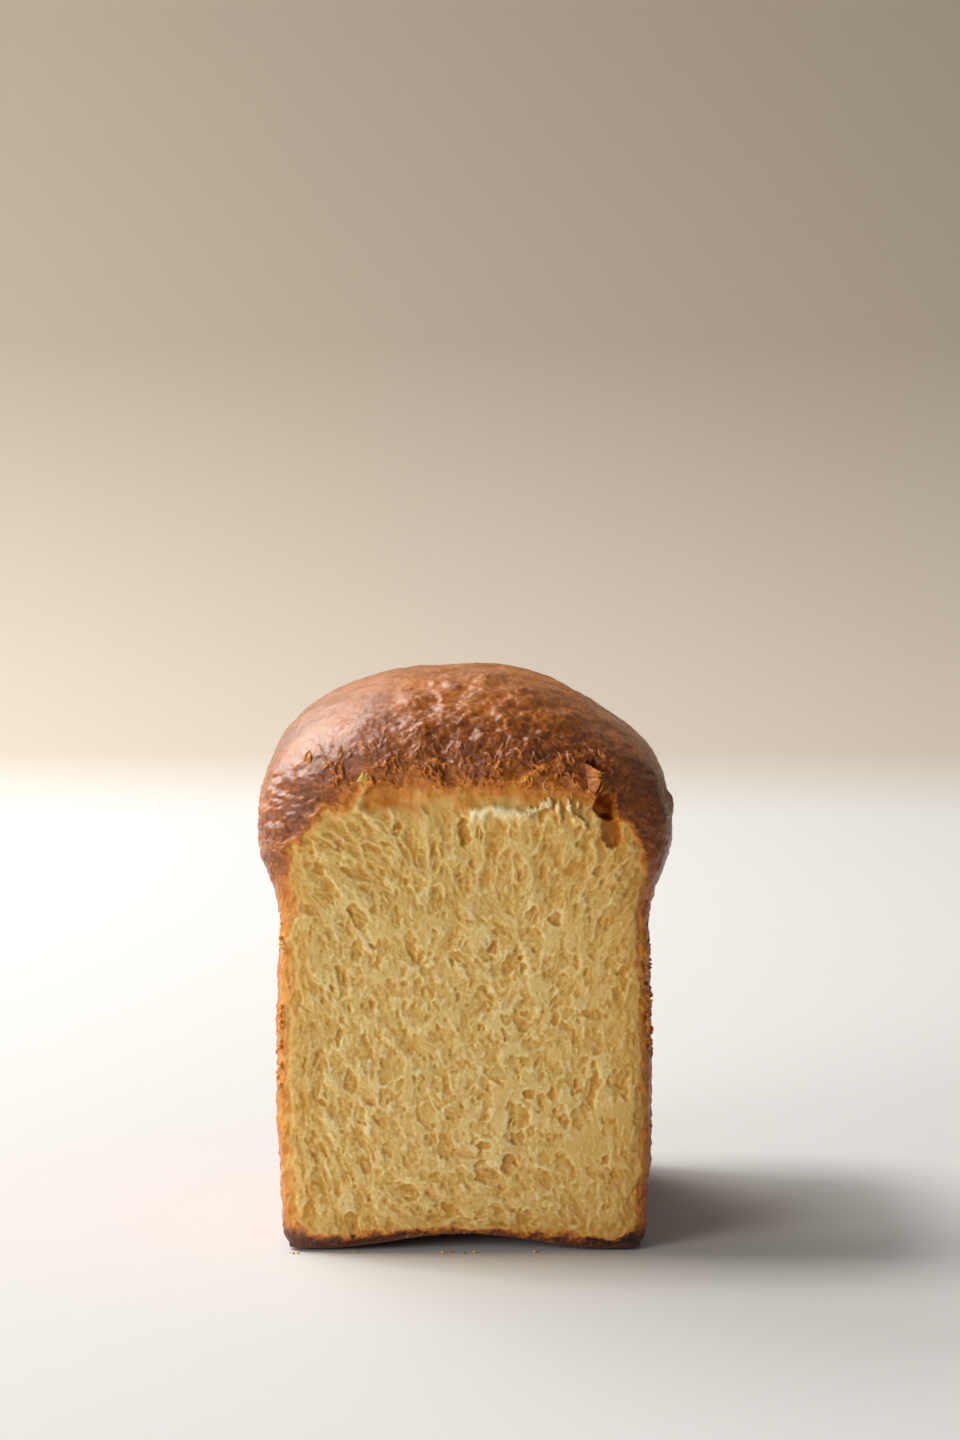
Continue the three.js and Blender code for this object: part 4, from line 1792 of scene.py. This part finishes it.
@dataclass(frozen=True)
class Crust:
    """The baked skin of the loaf round its sides, back, base and dome."""

    names: tuple[str, ...] = ("crust_foot", "crust_walls", "crust_dome")
    around: int = 700
    shares: tuple[float, ...] = (0.25, 0.3, 0.25, 0.2)
    base_rings: int = 14
    foot_rings: int = 10
    wall_rings: int = 160
    cap_rings: int = 64
    dome_rings: int = 130
    sunk: float = 10.0
    front: TornFront = TornFront()

    def rim(self, share: Array) -> tuple[Array, Array]:
        """Walks the rim of a square: the left side, the front, the right side, the back.

        Args:
            share: how far round each point is, from 0 to 1.

        Returns:
            Two coordinates from -1 to 1.
        """
        ends = np.concatenate([[0.0], np.cumsum(self.shares)])
        side = np.clip(np.searchsorted(ends, share, side="right") - 1, 0, 3)
        t = 2 * (share - ends[side]) / np.asarray(self.shares)[side] - 1
        along = mix(t, np.sin(math.pi / 2 * t), 0.5)
        one = np.ones(len(t))
        x = np.choose(side, [-one, along, one, -along])
        y = np.choose(side, [-along, -one, along, one])
        return x, y

    def net(self) -> Net:
        """The crust as a net that is rolled up, from the middle of the base to the top.

        Returns:
            The net, whose last column lies on its first.
        """
        rings = self.ring_count()
        turns = np.linspace(0.0, 1.0, self.around + 1) % 1.0
        share, ring = np.meshgrid(turns, np.arange(rings + 1))
        points = self.points(share.ravel(), ring.ravel()).reshape(*share.shape, 3)
        x, y, z = np.moveaxis(points, 2, 0)
        facing = Net(points, x, x, rolled=True).facing
        fade = smooth(ring, 2.0, self.base_rings) * fall(ring, rings - 6, rings)
        points = points + facing * (SKIN.relief(x, y, z) * fade)[..., None]
        height = z - FORM.front_lift(x, z)
        behind = fall(y, -46.0, -38.0) * (ring > self.base_rings)
        points[..., 1] += self.sunk * behind * smooth(self.front.covered(x, height), 3.4, 6.4)
        points[..., 1] += FORM.axis_shift_y
        # Its pit paints shade between the grains and a highlight on them; its bake holds painted
        # shade and a painted sheen.
        return Net(points, SKIN.bake(x, y, z), SKIN.pit(x, y, z), rolled=True)

    @property
    def cap_end(self) -> int:
        """The ring where the cap ends and the dome starts."""
        return self.base_rings + self.foot_rings + self.wall_rings + self.cap_rings

    def ring_count(self) -> int:
        """How many rings the crust has."""
        return self.cap_end + self.dome_rings

    def points(self, share: Array, ring: Array) -> Array:
        """Places of the crust before its relief.

        Args:
            share: how far round each point is, from 0 to 1.
            ring: its ring, counted from the middle of the base.

        Returns:
            An array of three columns.
        """
        rim_x, rim_y = self.rim(share)
        foot_end = self.base_rings + self.foot_rings
        wall_end = foot_end + self.wall_rings
        turn = math.pi / 2 * self.along(ring, self.base_rings, self.foot_rings)
        height = FORM.foot_round * (1 - np.cos(turn))
        inset = FORM.foot_round * (1 - np.sin(turn))
        neck = FORM.neck_height - 3
        wall = mix(FORM.foot_round, neck, self.along(ring, foot_end, self.wall_rings))
        cap = mix(neck, FORM.cap_height, self.along(ring, wall_end, self.cap_rings))
        dome_turn = math.pi / 2 * self.along(ring, self.cap_end, self.dome_rings)
        dome = mix(FORM.cap_height, FORM.height, np.sin(dome_turn))
        height = np.where(ring > foot_end, wall, height)
        height = np.where(ring > wall_end, cap, height)
        height = np.where(ring > self.cap_end, dome, height)
        points = FORM.ring(rim_x, rim_y, height, inset)
        under = np.clip(ring / self.base_rings, 0, 1)
        flat = ring < self.base_rings
        x, y = points[:, 0] * under, points[:, 1] * under
        lift = FORM.arch_lift(x, y, np.zeros(len(x)))
        return np.where(flat[:, None], np.stack([x, y, lift], axis=1), points)

    @staticmethod
    def along(ring: Array, first: int, count: int) -> Array:
        """How far through some rings each ring is, from 0 to 1."""
        return np.clip((ring - first) / count, 0, 1)

    def build(self, material: Material) -> None:
        """Makes the pieces of the crust."""
        self.net().show_parts(self.names, 0.0, material)


# ---- Loose and torn bits ----------------------------------------------------------------


def skin_place(x: Array, z: Array, out: Array | float) -> tuple[Array, Array]:
    """Places over the front skin, and which way is outwards there.

    Args:
        x: places across.
        z: their heights.
        out: how far outside the smooth skin they are.

    Returns:
        The places and the directions, as arrays of three columns.
    """
    step = 0.5
    slope_x = (FORM.skin_y(x + step, z) - FORM.skin_y(x - step, z)) / (2 * step)
    slope_z = (FORM.skin_y(x, z + step) - FORM.skin_y(x, z - step)) / (2 * step)
    away = np.stack([slope_x, -np.ones(np.shape(x)), slope_z], axis=-1)
    away /= np.linalg.norm(away, axis=-1)[..., None]
    skin = np.stack([x, FORM.skin_y(x, z) + FORM.axis_shift_y, z], axis=-1)
    return skin + away * np.asarray(out)[..., None], away


@dataclass
class Slivers:
    """Small shreds or crumbs of one kind, joined into one mesh."""

    name: str
    sides: int
    rings: int
    uneven: float = 0.0
    thinning: float = 0.45
    curl: float = 1.7
    noise: Noise = field(default_factory=lambda: Noise(61))
    places: list[Array] = field(default_factory=list)
    bakes: list[Array] = field(default_factory=list)
    pits: list[Array] = field(default_factory=list)

    def add(self, root: Array, along: Array, out: Array, size: Array, bend: Array,
            bake: Array, pit: Array) -> None:
        """Adds shreds that leave their roots, and curl off the surface towards their tips.

        Args:
            root: where each shred starts, three columns.
            along: the direction that it lies in, three columns.
            out: away from the surface, three columns.
            size: its length, width, thickness and how far its tip stands off, four columns.
            bend: how far its middle swings sideways.
            bake: its browning.
            pit: its hollow value, below 0 for a paler shred.
        """
        ball = coordinates(self.shape())
        side = np.cross(along, out)
        long, wide, thick, lift = (column[:, None, None] for column in size.T)
        run = (ball[None, :, 2:] + 1.0) / 2
        swing = bend[:, None, None] * 4.0 * run * (1.0 - run)
        rough = 1.0 + self.uneven * self.noise.at(*np.moveaxis(ball + root[:, None], 2, 0))
        taper = (1.0 - self.thinning * run) * rough[..., None]
        middle = root[:, None] + along[:, None] * long * run
        middle = middle + out[:, None] * lift * run**self.curl + side[:, None] * swing
        places = middle + side[:, None] * ball[None, :, :1] * wide / 2 * taper
        places = places + out[:, None] * ball[None, :, 1:2] * thick / 2
        self.places.append(places.reshape(-1, 3))
        self.bakes.append(np.repeat(bake, len(ball)))
        self.pits.append(np.repeat(pit, len(ball)))

    def shape(self) -> Mesh:
        """The ball with few faces that each shred is drawn from.

        Returns:
            A mesh of radius 1.
        """
        shell = bmesh.new()
        bmesh.ops.create_uvsphere(shell, u_segments=self.sides, v_segments=self.rings, radius=1.0)
        return mesh_of("shape", shell)

    def build(self, material: Material) -> None:
        """Joins the shreds into one mesh, and shows it.

        Args:
            material: their finish.
        """
        shape = self.shape()
        faces = [tuple(polygon.vertices) for polygon in shape.polygons]
        points = np.concatenate(self.places) * MM
        starts = range(0, len(points), len(shape.vertices))
        joined = [tuple(v + start for v in face) for start in starts for face in faces]
        mesh = bpy.data.meshes.new(self.name)
        mesh.from_pydata(points.tolist(), [], joined)
        mesh.uv_layers.new(name="OFBake")
        soften(mesh)
        add_values(mesh, "bake", np.concatenate(self.bakes))
        add_values(mesh, "pit", np.concatenate(self.pits))
        show(mesh, material)


@dataclass(frozen=True)
class Threads:
    """The stretched threads that stand off the lower edge of the brow."""

    name: str = "brow_threads"
    seed: int = 77
    length: tuple[float, float] = (2.4, 4.6)
    width: tuple[float, float] = (0.3, 0.6)
    thickness: tuple[float, float] = (0.2, 0.35)
    lift: tuple[float, float] = (0.1, 0.7)
    bake: tuple[float, float] = (0.1, 0.4)
    pit: float = -0.2
    turn_spread: float = 0.25
    swing_spread: float = 0.7
    places: tuple[tuple[float, float], ...] = (
        (19.0, 133.0), (24.0, 129.6), (24.8, 127.4), (21.6, 123.6), (22.4, 121.6), (-17.0, 127.0),
        (-31.0, 128.0), (6.0, 122.6), (-6.0, 123.4), (13.0, 122.2), (27.4, 119.4), (26.2, 117.0),
    )

    def build(self, material: Material) -> None:
        """Makes the threads and shows them.

        Args:
            material: their finish.
        """
        draw = np.random.default_rng(self.seed)
        count = len(self.places)
        x, z = np.asarray(self.places).T
        turn = math.pi + draw.normal(0.0, self.turn_spread, count)
        place, away = skin_place(x, z, 0.1)
        along = np.stack([np.sin(turn), np.zeros(count), np.cos(turn)], axis=1)
        along -= away * np.sum(along * away, axis=1)[:, None]
        ranges = (self.length, self.width, self.thickness, self.lift)
        size = np.stack([draw.uniform(*span, count) for span in ranges], axis=1)
        slivers = Slivers(self.name, sides=6, rings=9)
        slivers.add(place, along, away, size, draw.normal(0.0, self.swing_spread, count),
                    draw.uniform(*self.bake, count), np.full(count, self.pit))
        slivers.build(material)


@dataclass(frozen=True)
class Flap:
    """A torn flap of crust: where its root is, which way it points, and how it curls."""

    x: float
    z: float
    turn: float
    long: float
    wide: float
    lift: float
    cup: float
    bake: tuple[float, float]


FLAPS = (
    Flap(31.6, 122.4, 84.0, 2.9, 8.4, 1.7, -0.6, (0.66, 0.36)),
    Flap(37.4, 121.8, 226.0, 3.6, 4.0, 1.4, 0.7, (0.74, 0.52)),
    Flap(40.2, 116.2, 262.0, 1.7, 8.0, 1.1, -0.3, (0.7, 0.44)),
    Flap(37.4, 128.6, 214.0, 2.4, 6.4, 1.2, -0.3, (0.78, 0.62)),
    Flap(-26.4, 120.4, 18.0, 3.8, 3.6, 1.4, 0.3, (0.1, 0.16)),
    Flap(-41.2, 124.4, 22.0, 3.6, 2.2, 1.0, 0.4, (0.6, 0.42)),
    Flap(-42.6, 121.0, 350.0, 2.2, 2.0, 0.6, 0.3, (0.6, 0.45)),
    Flap(-32.4, 126.8, 12.0, 3.6, 1.6, 0.8, 0.3, (0.6, 0.42)),
    Flap(30.0, 117.6, 200.0, 2.8, 2.6, 1.2, 0.4, (0.12, 0.02)),
)


@dataclass(frozen=True)
class TornFlaps:
    """The flaps of crust and skin that the tear left standing, joined into one mesh."""

    name: str = "torn_flaps"
    across: int = 22
    along: int = 12
    thick: float = 0.32
    root_depth: float = 0.4
    narrowing: float = 0.75
    curl: float = 1.3
    ragged_end: float = 0.5
    ragged_side: float = 0.2
    ragged_face: float = 0.4

    def build(self, material: Material) -> None:
        """Makes the flaps and shows them.

        Args:
            material: their finish.
        """
        whole = bmesh.new()
        for number, flap in enumerate(FLAPS):
            mesh = self.sheet(flap, Noise(200 + number))
            whole.from_mesh(mesh)
            bpy.data.meshes.remove(mesh)
        mesh = mesh_of(self.name, whole)
        soften(mesh)
        show(mesh, material)

    def sheet(self, flap: Flap, noise: Noise) -> Mesh:
        """One flap, with a ragged free edge.

        Args:
            flap: its sizes.
            noise: the noise of its edge and face.

        Returns:
            A closed mesh in metres, with the values of its colours.
        """
        shell = bmesh.new()
        shell.loops.layers.uv.new("OFBake")
        bmesh.ops.create_grid(
            shell, x_segments=self.across, y_segments=self.along, size=1.0, calc_uvs=True)
        mesh = mesh_of("flap", shell)
        flat = coordinates(mesh)
        side, run = flat[:, 0], (flat[:, 1] + 1) / 2
        edge = noise.layers(side * flap.wide / 3.0, 0.0, np.zeros(len(side)), 4, 0.6)
        reach = flap.long * (1.0 + self.ragged_end * edge)
        turn = math.radians(flap.turn)
        half = flap.wide / 2 * (1.0 - self.narrowing * run**2)
        half = half + self.ragged_side * noise.at(run * 2.0, np.sign(side), side)
        over, up = side * half, run * reach
        x = flap.x + up * math.sin(turn) + over * math.cos(turn)
        z = flap.z + up * math.cos(turn) - over * math.sin(turn)
        out = -self.root_depth + (flap.lift + self.root_depth) * run**self.curl
        out = out + flap.cup * side**2 * run
        out = out + self.ragged_face * noise.layers(over / 1.8, 3.0, up / 1.8, 3) * run
        places, away = skin_place(x, z, out)
        mesh.vertices.foreach_set("co", (places * MM).astype(np.float32).ravel())
        add_values(mesh, "bake", mix(*flap.bake, run) + 0.08 * noise.at(over, 9.0, up))
        add_values(mesh, "pit", 0.15 * noise.at(over * 2.0, 4.0, up * 2.0))
        shell = bmesh.new()
        shell.from_mesh(mesh)
        inner = Vector(-away.mean(axis=0) * self.thick * MM)
        front = bmesh.ops.extrude_face_region(shell, geom=shell.faces[:], use_keep_orig=True)
        moved = [element for element in front["geom"] if isinstance(element, bmesh.types.BMVert)]
        bmesh.ops.translate(shell, verts=moved, vec=inner)
        bmesh.ops.recalc_face_normals(shell, faces=shell.faces)
        shell.to_mesh(mesh)
        shell.free()
        return mesh


@dataclass(frozen=True)
class CrumbPatch:
    """Crumbs on the front edge of a side wall: its side, how many, their heights and browning."""

    side: float
    count: int
    heights: tuple[float, float]
    bake: tuple[float, float]


@dataclass(frozen=True)
class Crumbs:
    """Small crumbs that cling to the edges of the loaf, and a few beside its foot."""

    name: str = "crumbs"
    seed: int = 91
    patches: tuple[CrumbPatch, ...] = (
        CrumbPatch(1.0, 60, (48.0, 80.0), (0.5, 0.72)),
        CrumbPatch(-1.0, 34, (44.0, 66.0), (0.3, 0.5)),
        CrumbPatch(-1.0, 16, (78.0, 87.0), (0.05, 0.3)),
    )
    edge_y: float = -53.0
    edge_reach: float = 9.0
    tilt: float = -0.25
    length: tuple[float, float] = (0.8, 2.2)
    width: tuple[float, float] = (0.8, 1.8)
    thickness: tuple[float, float] = (0.7, 1.5)
    floor_count: int = 16
    floor_x: tuple[float, float] = (-48.0, 46.0)
    floor_y: tuple[float, float] = (-58.6, -56.9)
    floor_width: tuple[float, float] = (0.4, 1.1)

    def build(self, material: Material) -> None:
        """Scatters the crumbs and makes them.

        Args:
            material: their finish.
        """
        draw = np.random.default_rng(self.seed)
        balls = Slivers(self.name, sides=9, rings=8, uneven=0.8)
        for patch in self.patches:
            self.on_wall(draw, balls, patch)
        self.on_floor(draw, balls)
        balls.build(material)

    def on_wall(self, draw: np.random.Generator, balls: Slivers, patch: CrumbPatch) -> None:
        """Crumbs and short shreds along the front edge of a side wall.

        Args:
            draw: where the random numbers come from.
            balls: the crumbs so far.
            patch: where these cling.
        """
        count, side = patch.count, patch.side
        z = draw.uniform(*patch.heights, count)
        y = self.edge_y + draw.uniform(0.0, 1.0, count) ** 1.6 * self.edge_reach
        x = side * (FORM.half_width(z) - np.where(y < self.edge_y + 2.0, 1.2, 0.3))
        root = np.stack([x, y + FORM.axis_shift_y, z], axis=1)
        out = np.tile([side, self.tilt, 0.0], (count, 1)) / math.hypot(1.0, self.tilt)
        turn = draw.uniform(0.0, 2 * math.pi, count)
        along = np.stack([np.zeros(count), np.sin(turn), np.cos(turn)], axis=1)
        lift = draw.uniform(0.0, 1.2, count) ** 2
        ranges = (self.length, self.width, self.thickness)
        size = np.stack([*(draw.uniform(*span, count) for span in ranges), 0.4 * lift], axis=1)
        balls.add(root, along, out, size, draw.normal(0.0, 0.2, count),
                  draw.uniform(*patch.bake, count), draw.uniform(-0.5, 0.3, count))

    def on_floor(self, draw: np.random.Generator, balls: Slivers) -> None:
        """A few crumbs on the floor, close by the front of the foot.

        Args:
            draw: where the random numbers come from.
            balls: the crumbs so far.
        """
        count = self.floor_count
        x = draw.uniform(*self.floor_x, count)
        wide = draw.uniform(*self.floor_width, count)
        root = np.stack([x, draw.uniform(*self.floor_y, count), 0.36 * wide], axis=1)
        turn = draw.uniform(0.0, 2 * math.pi, count)
        along = np.stack([np.cos(turn), 0.3 * np.sin(turn), np.zeros(count)], axis=1)
        out = np.tile([0.0, 0.0, 1.0], (count, 1))
        size = np.stack([wide * draw.uniform(0.9, 1.6, count), wide, 0.7 * wide,
                         np.zeros(count)], axis=1)
        balls.add(root, along, out, size, np.zeros(count), draw.uniform(0.0, 0.6, count),
                  draw.uniform(-0.4, 0.4, count))


# ---- The studio -------------------------------------------------------------------------


@dataclass(frozen=True)
class Lamp:
    """A soft panel of light: its place and size in metres, its power and colour."""

    name: str
    place: tuple[float, float, float]
    size: tuple[float, float]
    watts: float
    colour: tuple[float, float, float]

    def build(self, target: tuple[float, float, float]) -> None:
        """Hangs the panel so that it faces the target.

        Args:
            target: the point that it lights.
        """
        light = bpy.data.lights.new(self.name, "AREA")
        light.shape = "RECTANGLE"
        light.size, light.size_y = self.size
        light.energy = self.watts
        light.color = self.colour
        panel = bpy.data.objects.new(self.name, light)
        panel.location = self.place
        way = Vector(target) - Vector(self.place)
        panel.rotation_euler = way.to_track_quat("-Z", "Y").to_euler()
        bpy.context.scene.collection.objects.link(panel)


@dataclass(frozen=True)
class Studio:
    """A pale floor that sweeps up behind, soft light, and the camera. Sizes are metres."""

    half_width: float = 4.0
    sweep_start: float = 0.85
    sweep_radius: float = 0.5
    sweep_steps: int = 80
    near: float = -3.0
    wall_top: float = 2.6
    floor_tone: Tone = tone(216, 215, 214)
    sweep_tone: Tone = tone(196, 186, 171)
    wall_tone: Tone = tone(162, 151, 135)
    lit_point: tuple[float, float, float] = (0.0, 0.0, 0.07)
    lamps: tuple[Lamp, ...] = (
        Lamp("window", (-1.25, 0.3, 1.95), (0.7, 0.7), 38.0, (1.0, 0.985, 0.955)),
        Lamp("back_window", (-0.85, 1.12, 0.98), (1.5, 0.8), 27.0, (1.0, 0.985, 0.97)),
        Lamp("front_fill", (-1.7, -1.55, 0.75), (1.1, 1.0), 24.0, (1.0, 0.965, 0.92)),
    )
    room_tone: Tone = (1.0, 0.985, 0.965, 1.0)
    room_light: float = 0.16
    lens: float = 85.0
    sensor: float = 36.0
    camera_place: tuple[float, float, float] = (0.004, -0.9205, 0.2137)
    camera_tilt: float = 5.0

    def floor(self) -> None:
        """The floor and its sweep."""
        shell = bmesh.new()
        bmesh.ops.create_grid(shell, x_segments=2, y_segments=self.sweep_steps, size=1.0)
        quarter = self.sweep_radius * math.pi / 2
        length = self.sweep_start - self.near + quarter + self.wall_top
        for vert in shell.verts:
            run = (vert.co.y + 1) / 2 * length + self.near
            turn = min(max((run - self.sweep_start) / self.sweep_radius, 0.0), math.pi / 2)
            rest = max(run - self.sweep_start - quarter, 0.0)
            y = min(run, self.sweep_start) + self.sweep_radius * math.sin(turn)
            z = self.sweep_radius * (1 - math.cos(turn)) + rest
            vert.co = Vector((vert.co.x * self.half_width, y, z))
        mesh = mesh_of("floor", shell)
        soften(mesh)
        mesh.materials.append(self.paint())
        floor = bpy.data.objects.new("floor", mesh)
        bpy.context.scene.collection.objects.link(floor)

    def paint(self) -> Material:
        """The floor's finish, a little darker and warmer up the wall.

        Returns:
            The floor's material.
        """
        shader = Shader("pale_floor")
        place = shader.nodes.new("ShaderNodeSeparateXYZ")
        shader.links.new(shader.place, place.inputs["Vector"])
        stops = ((0.003, self.floor_tone), (0.04, self.sweep_tone), (0.4, self.wall_tone))
        colour = shader.ramp(shader.math("MULTIPLY", place.outputs["Z"], 1.5), stops)
        shader.links.new(colour, shader.surface.inputs["Base Color"])
        shader.set(Roughness=0.9, Specular_IOR_Level=0.1)
        return shader.material

    def light(self) -> None:
        """A window on the left, one behind it, a faint fill from the front, and the room."""
        for lamp in self.lamps:
            lamp.build(self.lit_point)
        world = bpy.data.worlds.new("room")
        world.use_nodes = True
        background = world.node_tree.nodes["Background"]
        background.inputs["Color"].default_value = self.room_tone
        background.inputs["Strength"].default_value = self.room_light
        bpy.context.scene.world = world

    def camera(self) -> None:
        """The photograph's view: a long lens that looks down a little."""
        data = bpy.data.cameras.new("camera")
        data.lens = self.lens
        data.sensor_fit = "AUTO"
        data.sensor_width = self.sensor
        camera = bpy.data.objects.new("camera", data)
        camera.location = self.camera_place
        camera.rotation_euler = (math.radians(90.0 - self.camera_tilt), 0.0, 0.0)
        bpy.context.scene.collection.objects.link(camera)
        bpy.context.scene.camera = camera

    def build(self) -> None:
        """Sets the floor, the lights and the camera."""
        self.floor()
        self.light()
        self.camera()
        bpy.context.scene.view_settings.view_transform = "Standard"


def main() -> None:
    """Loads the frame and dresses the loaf."""
    logging.basicConfig(level=logging.INFO, format="%(message)s")
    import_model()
    Studio().build()
    materials = {finish: finish.value.make() for finish in Finish}
    foam = Foam()
    TornFront().build(foam, materials[Finish.TORN])
    Crust().build(materials[Finish.CRUST])
    Threads().build(materials[Finish.TORN])
    TornFlaps().build(materials[Finish.TORN])
    Crumbs().build(materials[Finish.TORN])


if __name__ == "__main__":
    main()
